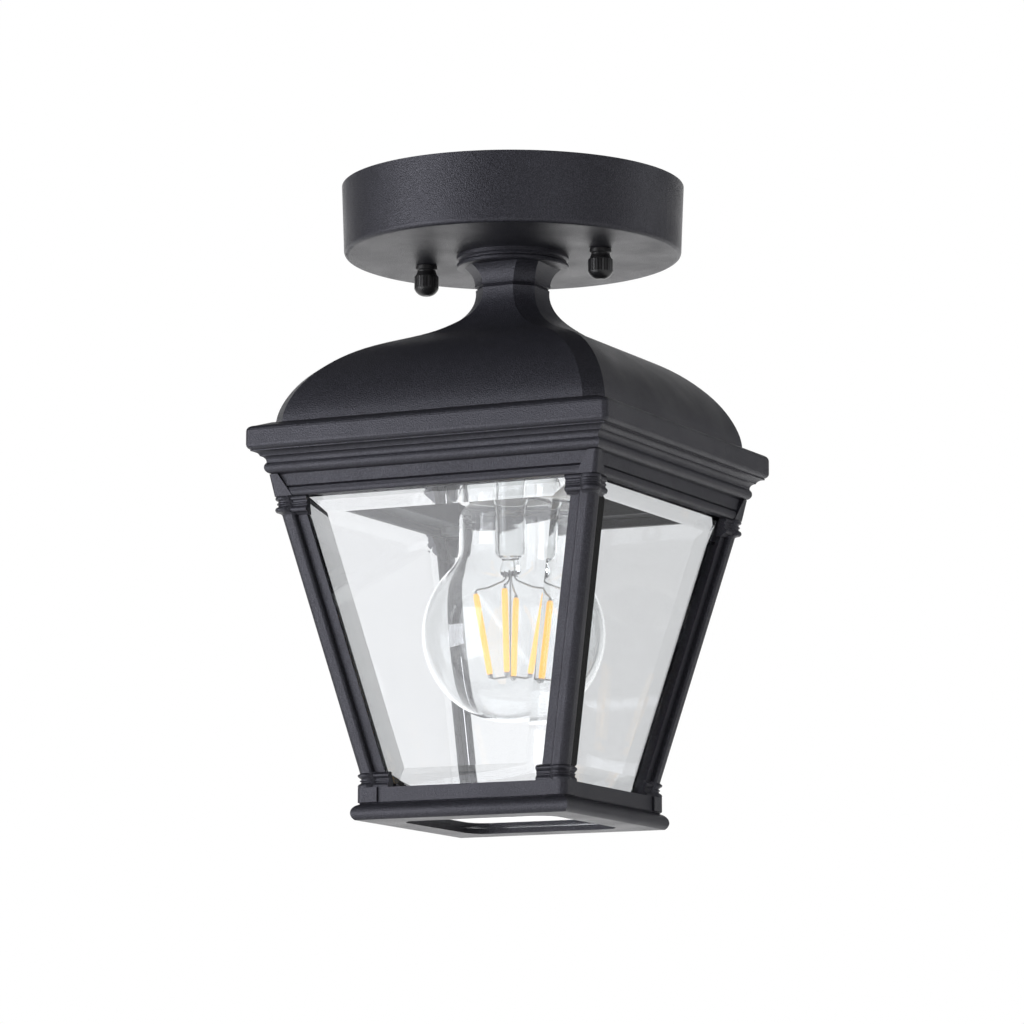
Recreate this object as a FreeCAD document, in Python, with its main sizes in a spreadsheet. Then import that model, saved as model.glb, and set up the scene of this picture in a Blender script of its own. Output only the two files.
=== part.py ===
import FreeCAD, Part
import math
import os

import Sketcher

# Porch ceiling lantern: a round canopy on a ceiling box, an eight-sided neck and bell roof,
# and a tapered square cage with bevelled panes round one lamp.
# The origin is the middle of the ceiling plane, +Z points up and the lantern hangs below it.
# The front face looks along -Y, and the two cap nuts lie on the X axis.

doc = FreeCAD.newDocument("porch_ceiling_lantern")
sheet = doc.addObject("Spreadsheet::Sheet", "Sizes")

# name, size in mm, what it is
SIZES = [
    ("canopy_radius", 60.0, "canopy at the ceiling"),
    ("canopy_foot_radius", 59.1, "canopy at its lower edge"),
    ("canopy_depth", 24.6, "canopy, ceiling to underside"),
    ("canopy_wall", 1.2, "canopy sheet"),
    ("canopy_edge_round", 1.6, "rounding of the canopy's lower edge"),
    ("box_screw_spacing", 88.9, "ceiling box screws, centre to centre"),
    ("box_slot_length", 12.0, "crossbar slot, end to end"),
    ("box_slot_width", 5.0, "crossbar slot"),
    ("crossbar_length", 106.0, "crossbar"),
    ("crossbar_width", 18.0, "crossbar"),
    ("crossbar_thickness", 1.6, "crossbar"),
    ("crossbar_centre_hole", 10.5, "crossbar centre hole, across"),
    ("stud_spacing", 68.0, "mounting studs, centre to centre"),
    ("stud_diameter", 4.0, "mounting stud"),
    ("stud_reach", 6.6, "stud below the canopy"),
    ("locknut_flats", 7.0, "stud locknut across flats"),
    ("locknut_height", 3.2, "stud locknut"),
    ("earth_screw_offset", 16.0, "earth screw from the middle of the crossbar"),
    ("earth_screw_flats", 8.0, "earth screw head across flats"),
    ("earth_screw_head", 3.0, "earth screw head height"),
    ("cap_nut_diameter", 8.6, "cap nut barrel"),
    ("cap_nut_neck", 6.6, "cap nut neck, across"),
    ("cap_nut_flange", 7.6, "cap nut flange, across"),
    ("cap_nut_flange_height", 1.9, "cap nut flange"),
    ("cap_nut_height", 10.9, "cap nut, flange to rounded end"),
    ("cap_nut_bore_depth", 8.6, "cap nut threaded bore"),
    ("flange_radius", 19.6, "collar flange under the canopy"),
    ("flange_thickness", 4.2, "collar flange"),
    ("flange_groove", 0.7, "groove round the flange's edge"),
    ("collar_height", 7.4, "coved collar below its flange"),
    ("collar_top_half", 14.4, "collar at its flange, half across flats"),
    ("neck_half", 11.5, "neck at the parting line, half across flats"),
    ("corner_cut", 5.6, "how much the neck and roof corners are cut back"),
    ("parting_groove", 0.5, "depth of the groove at the parting line"),
    ("roof_height", 52.3, "bell roof, parting line to eave"),
    ("roof_half", 62.5, "bell roof at the eave, half across flats"),
    ("roof_wall", 1.8, "bell roof casting"),
    ("roof_web_depth", 10.8, "solid neck above the bell's hollow"),
    ("slab_half", 68.4, "eave slab, half across"),
    ("slab_height", 9.8, "eave slab"),
    ("slab_fall", 1.5, "how far the slab's upper face falls towards its edge"),
    ("slab_edge_round", 1.8, "eave slab's long edges"),
    ("slab_corner_round", 1.9, "eave slab's corners"),
    ("slab_web_cut", 31.4, "corner webs inside the eave slab"),
    ("pipe_diameter", 10.0, "threaded hanger pipe"),
    ("pipe_bore", 7.2, "hole for the leads"),
    ("pipe_rise", 9.4, "pipe above the canopy floor"),
    ("pipe_drop", 23.4, "pipe below the parting line"),
    ("nut_flats", 14.0, "hanger nut across flats"),
    ("nut_height", 3.8, "hanger nut"),
    ("washer_radius", 7.8, "hanger washer"),
    ("washer_thickness", 1.0, "hanger washer"),
    ("holder_hub_radius", 8.5, "lampholder hub"),
    ("holder_hub_height", 6.0, "lampholder hub"),
    ("holder_plate_radius", 15.0, "lampholder plate"),
    ("holder_plate_thickness", 2.0, "lampholder plate"),
    ("holder_height", 51.5, "lampholder body"),
    ("holder_top_radius", 16.5, "lampholder body at its plate"),
    ("holder_rim_radius", 18.5, "lampholder rim"),
    ("holder_rim_height", 6.0, "lampholder rim"),
    ("holder_web", 14.0, "lampholder body above its hollow"),
    ("holder_screw_offset", 11.5, "lampholder plate screws from the axis"),
    ("plate_screw_radius", 1.5, "lampholder plate screw"),
    ("plate_screw_length", 9.0, "lampholder plate screw below its head"),
    ("plate_screw_head", 2.6, "its head, radius"),
    ("plate_screw_head_height", 1.8, "its head"),
    ("terminal_screw_head", 3.0, "terminal screw head, radius"),
    ("terminal_screw_rise", 2.0, "terminal screw head above the porcelain"),
    ("terminal_screw_drop", 7.0, "terminal screws below the top of the porcelain"),
    ("contact_rivet", 4.6, "centre contact at the porcelain, radius"),
    ("contact_tongue", 2.6, "centre contact at its tip, radius"),
    ("shell_inner_radius", 13.45, "lamp screw shell, inside its thread"),
    ("shell_wall", 0.5, "lamp screw shell"),
    ("shell_length", 27.0, "lamp screw shell"),
    ("cap_radius", 13.1, "lamp cap thread crest"),
    ("cap_thread_depth", 0.9, "lamp cap thread"),
    ("cap_pitch", 3.6, "lamp cap thread pitch"),
    ("cap_length", 21.0, "lamp cap shell"),
    ("lamp_tip_drop", 45.8, "lamp contact below the parting line"),
    ("insulator_height", 4.4, "lamp cap insulator"),
    ("contact_height", 1.8, "lamp centre contact"),
    ("contact_radius", 4.4, "lamp centre contact"),
    ("insulator_radius", 5.0, "lamp cap insulator round the contact"),
    ("cap_wall", 0.5, "lamp cap sheet"),
    ("bulb_seat", 4.0, "envelope inside the cap"),
    ("bulb_radius", 30.6, "lamp envelope"),
    ("bulb_length", 106.2, "lamp, contact to the end of the envelope"),
    ("bulb_neck_radius", 17.9, "lamp envelope's neck"),
    ("bulb_neck_fillet", 12.0, "sweep from the neck into the round end"),
    ("bulb_shoulder", 6.4, "shoulder above the neck, as high as it is"),
    ("bulb_wall", 0.8, "lamp envelope"),
    ("stem_radius", 5.3, "lamp stem"),
    ("stem_length", 28.4, "lamp stem below the cap"),
    ("support_wire_radius", 0.3, "wires that carry the filaments"),
    ("filament_width", 1.7, "lamp filament"),
    ("filament_length", 30.0, "lamp filament"),
    ("filament_circle", 12.3, "upper ends of the filaments from the axis"),
    ("filament_foot_circle", 6.8, "their lower ends from the axis"),
    ("filament_drop", 5.1, "filaments below the stem"),
    ("filament_turn", 17.0, "degrees from the X axis to the first filament"),
    ("moulding_height", 8.1, "cornice mouldings below the eave slab"),
    ("moulding_top_half", 66.8, "cornice under the slab, half across"),
    ("moulding_step_half", 64.4, "cornice step, half across"),
    ("moulding_cove_half", 62.7, "cornice cove, half across"),
    ("moulding_foot_half", 62.0, "cornice below the bead, half across"),
    ("moulding_top_height", 2.0, "moulding under the slab"),
    ("moulding_cove_height", 2.2, "cove below it"),
    ("rail_half", 60.7, "upper rail face, half across"),
    ("rail_height", 7.6, "upper rail"),
    ("rail_groove_depth", 0.7, "groove along the upper rail"),
    ("rail_groove_drop", 4.5, "groove below the mouldings"),
    ("frame_opening_half", 41.5, "opening of the cornice frame, half across"),
    ("frame_ledge_drop", 4.7, "frame ledge below the mouldings"),
    ("channel_wall", 1.9, "inner wall of the glass channel"),
    ("channel_half", 53.3, "outside of that wall, half across"),
    ("cage_top_half", 60.7, "outer planes of the posts at the upper rail"),
    ("cage_foot_half", 38.0, "outer planes of the posts at the base"),
    ("glazed_height", 98.9, "upper rail to base"),
    ("post_bead", 5.5, "square bead on the corner of a post"),
    ("post_bead_round", 2.4, "its outermost corner"),
    ("post_bead_edge", 1.1, "its long edges beside the flanges"),
    ("flange_setback", 2.2, "post flange behind the bead's outer faces"),
    ("flange_web", 1.4, "post flange thickness"),
    ("flange_length", 9.4, "post flange, from the outer planes"),
    ("ring_half", 61.3, "capital rings, half across"),
    ("ring_waist_half", 60.5, "between the capital rings, half across"),
    ("ring_length", 12.4, "capital ring on each face"),
    ("ring_round", 3.4, "rounded corner of the rings"),
    ("ring_setback", 1.6, "ring on each face, behind its own corner"),
    ("foot_ring_half", 40.0, "foot rings, half across"),
    ("foot_waist_half", 39.1, "between the foot rings, half across"),
    ("foot_ring_length", 12.1, "foot ring on each face"),
    ("capital_height", 6.4, "capital rings below the upper rail"),
    ("capital_round", 1.4, "outermost corner of the capital blocks"),
    ("capital_top_half", 62.3, "capital blocks at the top, half across"),
    ("capital_foot_half", 60.9, "capital blocks at the bottom, half across"),
    ("capital_top_width", 3.6, "capital block on each face, top"),
    ("capital_foot_width", 7.2, "capital block on each face, bottom"),
    ("foot_height", 5.4, "foot rings above the base"),
    ("foot_block_width", 8.2, "foot block on each face"),
    ("foot_block_height", 5.0, "foot block beside the base"),
    ("foot_block_half", 39.7, "foot blocks, half across"),
    ("core_height", 8.0, "solid corner behind the capital"),
    ("spigot_radius", 2.0, "spigot under the foot"),
    ("spigot_length", 3.2, "spigot under the foot"),
    ("post_screw_place", 56.0, "post screws from the middle, both ways"),
    ("post_screw_diameter", 3.0, "post screw"),
    ("post_screw_length", 20.0, "post screw below its head"),
    ("post_screw_head", 5.6, "post screw head, across"),
    ("post_screw_head_height", 2.4, "post screw head"),
    ("roof_screw_place", 46.5, "roof screws from the middle, both ways"),
    ("roof_screw_diameter", 4.0, "roof screw"),
    ("roof_screw_length", 16.0, "roof screw above its head"),
    ("roof_screw_head", 7.6, "roof screw head, across"),
    ("roof_screw_head_height", 2.5, "roof screw head"),
    ("base_half", 38.9, "base rail, half across"),
    ("base_rail_height", 5.0, "base rail"),
    ("base_bead_half", 41.0, "base bead, half across"),
    ("base_bead_height", 6.0, "base bead"),
    ("base_undercut", 0.4, "hollow between the base rail and its bead"),
    ("base_ledge_drop", 2.5, "pane ledge below the top of the base"),
    ("base_lip_height", 1.9, "lip under the bottom glass"),
    ("base_opening_half", 28.7, "opening of the base, half across"),
    ("base_opening_round", 7.0, "corners of that opening"),
    ("bottom_glass_half", 30.1, "bottom glass, half across"),
    ("bottom_glass_cut", 6.3, "corner cut of the bottom glass"),
    ("glass_thickness", 3.4, "panes"),
    ("pane_edge", 0.9, "panes at the edge of their bevel"),
    ("bevel_width", 8.6, "bevel of the panes"),
    ("glass_overlap", 1.4, "pane behind each post flange"),
    ("bottom_glass_thickness", 3.0, "bottom glass"),
    ("clip_height", 3.8, "corner clip"),
    ("clip_rise", 2.0, "corner clip above the top of the base"),
    ("clip_web", 2.6, "corner clip"),
    ("clip_leg", 2.8, "corner clip beside the post"),
    ("glass_gap", 0.3, "clearance round the glass"),
    ("fit_gap", 0.3, "clearance of the holes that studs and pipe pass through"),
    ("thread_gap", 0.05, "radial clearance drawn between mating threads"),
    ("screw_hole_gap", 0.1, "radial clearance of the holes that frame screws pass through"),
    ("contact_gap", 0.3, "lamp contact to centre contact"),
]


class Size:
    """A length in mm, with the formula that ties it to the cells of the sheet."""

    def __init__(self, value, formula):
        self.value = value
        self.formula = formula

    def __add__(self, other):
        other = as_size(other)
        return Size(self.value + other.value, f"({self.formula} + {other.formula})")

    def __sub__(self, other):
        other = as_size(other)
        return Size(self.value - other.value, f"({self.formula} - {other.formula})")

    def __mul__(self, factor):
        factor = as_size(factor)
        return Size(self.value * factor.value, f"({self.formula} * {factor.formula})")

    def __truediv__(self, other):
        other = as_size(other)
        return Size(self.value / other.value, f"({self.formula} / {other.formula})")

    def __neg__(self):
        return self * -1

    __radd__ = __add__
    __rmul__ = __mul__

    def __rsub__(self, other):
        return as_size(other) - self


def as_size(length):
    return length if isinstance(length, Size) else Size(float(length), f"({float(length)!r})")


def root(size):
    """Square root, as a Size."""
    return Size(math.sqrt(size.value), f"sqrt({size.formula})")


class Sizes:
    """The sheet's cells by name."""


def fill_sheet():
    named = Sizes()
    for row, (name, value, note) in enumerate(SIZES, start=1):
        sheet.set(f"A{row}", name)
        sheet.set(f"B{row}", str(value))
        sheet.set(f"C{row}", note)
        sheet.setAlias(f"B{row}", name)
        setattr(named, name, Size(value, f"Sizes.{name}"))
    doc.recompute()
    return named


S = fill_sheet()

# ---------------------------------------------------------------- levels, mm below the ceiling
canopy_floor = S.canopy_depth - S.canopy_wall
flange_level = S.canopy_depth + S.flange_thickness
parting_level = flange_level + S.collar_height
eave_level = parting_level + S.roof_height
slab_level = eave_level + S.slab_height
rail_top_level = slab_level + S.moulding_height
rail_level = rail_top_level + S.rail_height
ledge_level = rail_top_level + S.frame_ledge_drop
base_top_level = rail_level + S.glazed_height
base_rail_level = base_top_level + S.base_rail_height
base_level = base_rail_level + S.base_bead_height
web_level = parting_level + S.roof_web_depth
roof_nut_level = web_level + S.washer_thickness
hub_level = roof_nut_level + S.nut_height + S.fit_gap
plate_level = hub_level + S.holder_hub_height
holder_level = plate_level + S.holder_plate_thickness
holder_hollow_level = holder_level + S.holder_web
holder_foot_level = holder_level + S.holder_height
lamp_tip_level = parting_level + S.lamp_tip_drop
insulator_level = lamp_tip_level + S.contact_height
cap_level = insulator_level + S.insulator_height
glass_neck_level = cap_level + S.cap_length
bulb_end_level = lamp_tip_level + S.bulb_length
bulb_centre_level = bulb_end_level - S.bulb_radius
bottom_glass_level = base_level - S.base_lip_height
seat_level = glass_neck_level - S.bulb_seat
stem_foot_level = glass_neck_level + S.stem_length
pane_foot_level = base_top_level + S.base_ledge_drop - S.glass_gap
pane_head_level = ledge_level + S.glass_gap

lean = (S.cage_top_half - S.cage_foot_half) / S.glazed_height
post_setback = S.flange_setback + S.flange_web
seat_radius = S.cap_radius - S.cap_thread_depth - S.cap_wall - S.thread_gap
pane_end = S.flange_length - S.glass_overlap


def cage_half(level):
    """Half the distance between the posts' outer planes at a level."""
    return S.cage_top_half - lean * (level - rail_level)


# ---------------------------------------------------------------- drawing helpers
def new_body(label):
    body = doc.addObject("PartDesign::Body", label)
    body.Label = label
    return body


def origin_plane(body, role):
    return next(item for item in body.Origin.OriginFeatures if item.Role == role)


def new_sketch(body, role="XY_Plane", level=None):
    """A sketch on one of the body's own planes; a level lowers it below the ceiling."""
    sketch = body.newObject("Sketcher::SketchObject", f"{body.Label}_sketch")
    sketch.AttachmentSupport = (origin_plane(body, role), [""])
    sketch.MapMode = "FlatFace"
    if level is not None:
        drop = -as_size(level)
        sketch.AttachmentOffset = FreeCAD.Placement(FreeCAD.Vector(0, 0, drop.value), FreeCAD.Rotation())
        sketch.setExpression("AttachmentOffset.Base.z", drop.formula)
    return sketch


def drive(sketch, kind, places, size):
    """Adds a constraint and ties it to the sheet."""
    size = as_size(size)
    index = sketch.addConstraint(Sketcher.Constraint(kind, *places, size.value))
    if "Sizes." in size.formula:
        sketch.setExpression(f"Constraints[{index}]", size.formula)


def fix_point(sketch, edge, end, x, y):
    """Holds one end of an edge at (x, y)."""
    for kind, axis, size in (("DistanceX", -2, as_size(x)), ("DistanceY", -1, as_size(y))):
        if abs(size.value) < 1e-9:
            sketch.addConstraint(Sketcher.Constraint("PointOnObject", edge, end, axis))
        else:
            drive(sketch, kind, (-1, 1, edge, end), size)


def arc_between(start, end, radius, long_way=False):
    """The arc from start to end; a positive radius turns left, a negative one right."""
    chord = end - start
    middle = (start + end) * 0.5
    side = FreeCAD.Vector(-chord.y, chord.x, 0).normalize()
    reach = math.sqrt(max(radius * radius - chord.Length ** 2 / 4.0, 0.0))
    centre = middle + side * math.copysign(reach, -radius if long_way else radius)
    first, last = (start, end) if radius > 0 else (end, start)
    angle_first = math.atan2(first.y - centre.y, first.x - centre.x)
    angle_last = math.atan2(last.y - centre.y, last.x - centre.x)
    circle = Part.Circle(centre, FreeCAD.Vector(0, 0, 1), abs(radius))
    return Part.ArcOfCircle(circle, angle_first, angle_last)


def outline(sketch, corners):
    """A closed outline. A corner is (x, y), or (x, y, radius) where an arc leaves it.

    A fourth value that is true sends the arc the long way round.
    """
    points = [FreeCAD.Vector(as_size(c[0]).value, as_size(c[1]).value, 0) for c in corners]
    edges = []
    for number, corner in enumerate(corners):
        start, end = points[number], points[(number + 1) % len(points)]
        if len(corner) > 2:
            radius = as_size(corner[2])
            edge = sketch.addGeometry(arc_between(start, end, radius.value, *corner[3:]), False)
            edges.append((edge, 1, 2) if radius.value > 0 else (edge, 2, 1))
        else:
            edge = sketch.addGeometry(Part.LineSegment(start, end), False)
            edges.append((edge, 1, 2))
    for number, (edge, _, tail) in enumerate(edges):
        following, head, _ = edges[(number + 1) % len(edges)]
        sketch.addConstraint(Sketcher.Constraint("Coincident", edge, tail, following, head))
    for (edge, head, _), corner in zip(edges, corners):
        fix_point(sketch, edge, head, corner[0], corner[1])
        if len(corner) > 2:
            radius = as_size(corner[2])
            drive(sketch, "Radius", (edge,), radius if radius.value > 0 else -radius)
    return sketch


def ring(sketch, radius, x=0.0, y=0.0):
    """A circle in a sketch."""
    centre = FreeCAD.Vector(as_size(x).value, as_size(y).value, 0)
    edge = sketch.addGeometry(Part.Circle(centre, FreeCAD.Vector(0, 0, 1), as_size(radius).value), False)
    fix_point(sketch, edge, 3, x, y)
    drive(sketch, "Radius", (edge,), radius)
    return sketch


def pad(body, sketch, height):
    """Material downwards from a sketch."""
    feature = body.newObject("PartDesign::Pad", f"{body.Label}_pad")
    feature.Profile = sketch
    height = as_size(height)
    feature.Length = height.value
    if "Sizes." in height.formula:
        feature.setExpression("Length", height.formula)
    feature.Reversed = True
    return settle(body, feature)


def pocket(body, sketch, depth=None):
    """A cut downwards from a sketch, or right through without a depth."""
    before = body.Shape.Volume
    feature = body.newObject("PartDesign::Pocket", f"{body.Label}_pocket")
    feature.Profile = sketch
    if depth is None:
        feature.Type = "ThroughAll"
    else:
        depth = as_size(depth)
        feature.Length = depth.value
        if "Sizes." in depth.formula:
            feature.setExpression("Length", depth.formula)
        feature.Reversed = False
    settle(body, feature)
    if not body.Shape.Volume < before - 1e-6:
        raise RuntimeError(f"{body.Label}: a pocket cuts nothing")
    return feature


def turned(body, corners, kind="PartDesign::Revolution"):
    """A piece turned about Z, or a cut, from its half section: (radius, level) corners."""
    before = body.Shape.Volume if kind == "PartDesign::Groove" else None
    section = [(c[0], -as_size(c[1]), *c[2:]) for c in corners]
    sketch = outline(new_sketch(body, "XZ_Plane"), section)
    feature = body.newObject(kind, f"{body.Label}_turned")
    feature.Profile = sketch
    feature.ReferenceAxis = (sketch, ["V_Axis"])
    feature.Angle = 360.0
    settle(body, feature)
    if before is not None and not body.Shape.Volume < before - 1e-6:
        raise RuntimeError(f"{body.Label}: a groove cuts nothing")
    return feature


def loft(body, sketches, cut=False, ruled=True):
    """Material, or a cut, through sections at several levels."""
    kind = "PartDesign::SubtractiveLoft" if cut else "PartDesign::AdditiveLoft"
    before = body.Shape.Volume if cut else None
    feature = body.newObject(kind, f"{body.Label}_loft")
    feature.Profile = sketches[0]
    feature.Sections = sketches[1:]
    feature.Ruled = ruled
    settle(body, feature)
    if cut and not body.Shape.Volume < before - 1e-6:
        raise RuntimeError(f"{body.Label}: a loft cuts nothing")
    return feature


def around(body, feature, count=4):
    """Repeats a feature round the Z axis."""
    pattern = body.newObject("PartDesign::PolarPattern", f"{body.Label}_round")
    pattern.Originals = [feature]
    pattern.Axis = (origin_plane(body, "Z_Axis"), [""])
    pattern.Angle = 360.0
    pattern.Occurrences = count
    return settle(body, pattern)


def settle(body, feature):
    body.Tip = feature
    doc.recompute()
    if "Invalid" in feature.State or "Error" in feature.State:
        raise RuntimeError(f"{body.Label}: {feature.Name} failed")
    return feature


def cut_through(body, sketch):
    """A cut right through on both sides of a sketch's plane."""
    before = body.Shape.Volume
    feature = body.newObject("PartDesign::Pocket", f"{body.Label}_trim")
    feature.Profile = sketch
    feature.Type = "ThroughAll"
    feature.SideType = "Symmetric"
    settle(body, feature)
    if not body.Shape.Volume < before - 1e-6:
        raise RuntimeError(f"{body.Label}: a trim cuts nothing")
    return feature


def mitred(body, profile, reach):
    """A square block with mitred mouldings: one profile of (half width, level) on all four sides."""
    down = [(corner[0], -as_size(corner[1]), *corner[2:]) for corner in profile]
    up = [(-down[k][0], down[k][1], *down[k - 1][2:]) for k in range(len(down) - 1, -1, -1)]
    up[-1] = up[-1][:2]
    block = body.newObject("PartDesign::Pad", f"{body.Label}_block")
    block.Profile = outline(new_sketch(body, "XZ_Plane"), down[:-1] + [down[-1][:2]] + up)
    block.SideType = "Symmetric"
    block.Length = 2 * reach.value
    block.setExpression("Length", (reach * 2).formula)
    settle(body, block)
    top, foot = down[0][1], down[-1][1]
    for side in (1, -1):
        face = down if side > 0 else [(-c[0], c[1], *[-r for r in c[2:]]) for c in down]
        edge = reach * side
        cut_through(body, outline(new_sketch(body, "YZ_Plane"),
                                  face[:-1] + [face[-1][:2], (edge, foot), (edge, top)]))
    return block


def square(half, cut=None):
    """Corners of a square, or of a square with its corners cut."""
    if cut is None:
        return [(half, half), (-half, half), (-half, -half), (half, -half)]
    face = half - cut
    return [(half, face), (face, half), (-face, half), (-half, face),
            (-half, -face), (-face, -half), (face, -half), (half, -face)]


def rounded_square(half, radius):
    """Corners of a square with round corners, anticlockwise."""
    face = half - radius
    return [(half, face, radius), (face, half), (-face, half, radius), (-half, face),
            (-half, -face, radius), (-face, -half), (face, -half, radius), (half, -face)]


def hexagon(flats, x=0.0, y=0.0):
    reach = as_size(flats) / math.sqrt(3.0)
    return [(x + reach * math.cos(math.radians(60 * k)), y + reach * math.sin(math.radians(60 * k)))
            for k in range(6)]


def tube(label, level, height, radius, bore, x=0.0):
    """A plain round piece with a bore."""
    body = new_body(label)
    sketch = ring(new_sketch(body, level=level), radius, x)
    ring(sketch, bore, x)
    pad(body, sketch, height)
    return body


def hex_nut(label, level, height, flats, bore, x=0.0):
    body = new_body(label)
    sketch = outline(new_sketch(body, level=level), hexagon(flats, x))
    ring(sketch, bore, x)
    pad(body, sketch, height)
    return body


def group(label, pieces):
    """Several loose pieces kept under one name."""
    compound = doc.addObject("Part::Compound", label)
    compound.Label = label
    compound.Links = pieces
    doc.recompute()
    return compound


# ---------------------------------------------------------------- ceiling parts
def make_crossbar():
    """Steel strap across the ceiling box, with slots for the box screws and tapped stud holes."""
    body = new_body("crossbar")
    half_length, half_width = S.crossbar_length / 2, S.crossbar_width / 2
    strip = [(half_length, half_width), (-half_length, half_width),
             (-half_length, -half_width), (half_length, -half_width)]
    pad(body, outline(new_sketch(body, level=0.0), strip), S.crossbar_thickness)
    slot_radius = S.box_slot_width / 2
    straight = S.box_slot_length / 2 - slot_radius
    for side in (-1, 1):
        middle = S.box_screw_spacing * (side / 2)
        for end in (middle - straight, middle + straight):
            pocket(body, ring(new_sketch(body, level=0.0), slot_radius, end))
        slot = [(middle + straight, slot_radius), (middle - straight, slot_radius),
                (middle - straight, -slot_radius), (middle + straight, -slot_radius)]
        pocket(body, outline(new_sketch(body, level=0.0), slot))
    holes = ring(new_sketch(body, level=0.0), S.crossbar_centre_hole / 2)
    ring(holes, S.stud_diameter / 2 + S.thread_gap, S.stud_spacing / 2)
    ring(holes, S.stud_diameter / 2 + S.thread_gap, S.stud_spacing * -0.5)
    ring(holes, S.stud_diameter / 2 + S.thread_gap, S.earth_screw_offset)
    pocket(body, holes)
    return body


def make_stud(label, side):
    """Mounting stud through the crossbar and the canopy floor, with a turned point."""
    body = new_body(label)
    radius, point = S.stud_diameter / 2, S.stud_diameter / 8
    end = S.canopy_depth + S.stud_reach
    turned(body, [(0, 0), (radius, 0), (radius, end - point), (radius - point, end), (0, end)])
    body.setExpression("Placement.Base.x", (S.stud_spacing * (side / 2)).formula)
    doc.recompute()
    return body


def make_earth_screw():
    """Earth screw: a hexagon head on a washer face, threaded up into the crossbar."""
    body = new_body("earth_screw")
    collar = 0.8
    pad(body, ring(new_sketch(body, level=0.0), S.stud_diameter / 2, S.earth_screw_offset),
        S.crossbar_thickness)
    pad(body, ring(new_sketch(body, level=S.crossbar_thickness), S.earth_screw_flats * 0.62,
                   S.earth_screw_offset), collar)
    pad(body, outline(new_sketch(body, level=S.crossbar_thickness + collar),
                      hexagon(S.earth_screw_flats, S.earth_screw_offset)), S.earth_screw_head)
    return body


def make_canopy():
    """Spun canopy: a shallow pan, open at the ceiling, with a flat floor."""
    body = new_body("canopy")
    edge = S.canopy_edge_round
    inner_edge = edge - S.canopy_wall
    turned(body, [
        (0, S.canopy_depth), (S.canopy_foot_radius - edge, S.canopy_depth, edge),
        (S.canopy_foot_radius, S.canopy_depth - edge), (S.canopy_radius, 0),
        (S.canopy_radius - S.canopy_wall, 0),
        (S.canopy_foot_radius - S.canopy_wall, canopy_floor - inner_edge, -inner_edge),
        (S.canopy_foot_radius - S.canopy_wall - inner_edge, canopy_floor), (0, canopy_floor)])
    holes = ring(new_sketch(body, level=0.0), S.pipe_diameter / 2 + S.fit_gap)
    for side in (-1, 1):
        ring(holes, S.stud_diameter / 2 + S.fit_gap, S.stud_spacing * (side / 2))
    pocket(body, holes)
    return body


def make_cap_nut(label, side):
    """Knurled cap nut: flange, neck, barrel with a rounded end, and a blind bore."""
    body = new_body(label)
    flange, neck, barrel = S.cap_nut_flange / 2, S.cap_nut_neck / 2, S.cap_nut_diameter / 2
    top = S.canopy_depth
    flange_end = top + S.cap_nut_flange_height
    barrel_top = flange_end + (barrel - neck) * 1.6
    end = top + S.cap_nut_height
    dome = 2.6
    tip = 1.2
    bore = S.stud_diameter / 2 + S.thread_gap
    turned(body, [
        (bore, top), (flange - 0.3, top), (flange, top + 0.3), (flange, flange_end - 0.4),
        (neck, flange_end), (neck, flange_end + 0.4), (barrel - 0.5, barrel_top),
        (barrel, barrel_top + 0.5), (barrel, end - dome, -dome * 1.5), (tip, end), (0, end),
        (0, top + S.cap_nut_bore_depth), (bore, top + S.cap_nut_bore_depth)])
    groove = outline(new_sketch(body, level=barrel_top + 0.6), [
        (barrel - 0.25, 0), (barrel + 0.2, -0.28), (barrel + 0.2, 0.28)])
    around(body, pocket(body, groove, end - dome - barrel_top - 0.6), 24)
    body.setExpression("Placement.Base.x", (S.stud_spacing * (side / 2)).formula)
    doc.recompute()
    return body


# ---------------------------------------------------------------- neck and roof
def eight_sides(body, level, half):
    return outline(new_sketch(body, level=level), square(half, S.corner_cut))


def make_neck_collar():
    """Cast collar: a round flange that coves down to the eight-sided neck."""
    body = new_body("neck_collar")
    top, edge, groove = S.canopy_depth, S.flange_radius, S.flange_groove
    turned(body, [(0, top), (edge, top), (edge, top + 1.2), (edge - groove, top + 1.8),
                  (edge - groove, top + 2.4), (edge, top + 3.0), (edge, flange_level - 0.3),
                  (edge - 0.3, flange_level), (0, flange_level)])
    spread = S.collar_top_half - S.neck_half
    lip = parting_level - S.parting_groove
    # share of the collar's height, share of its spread
    cove = ((0.0, 1.0), (0.12, 0.75), (0.3, 0.46), (0.55, 0.2), (0.8, 0.08), (1.0, 0.1))
    loft(body, [eight_sides(body, flange_level + (lip - flange_level) * down, S.neck_half + spread * out)
                for down, out in cove], ruled=False)
    loft(body, [eight_sides(body, lip, S.neck_half + spread * 0.1),
                eight_sides(body, parting_level, S.neck_half - S.parting_groove)])
    pocket(body, ring(new_sketch(body, level=0.0), S.pipe_diameter / 2 + S.fit_gap))
    return body


# The bell roof's outline: share of the roof's spread, share of its height.
BELL = ((0.0, 0.012), (0.006, 0.09), (0.045, 0.175), (0.125, 0.255), (0.25, 0.335), (0.46, 0.42),
        (0.62, 0.492), (0.765, 0.592), (0.865, 0.692), (0.938, 0.8), (0.983, 0.905), (1.0, 1.0))
BELL_HOLLOW_FROM = 3


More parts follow.
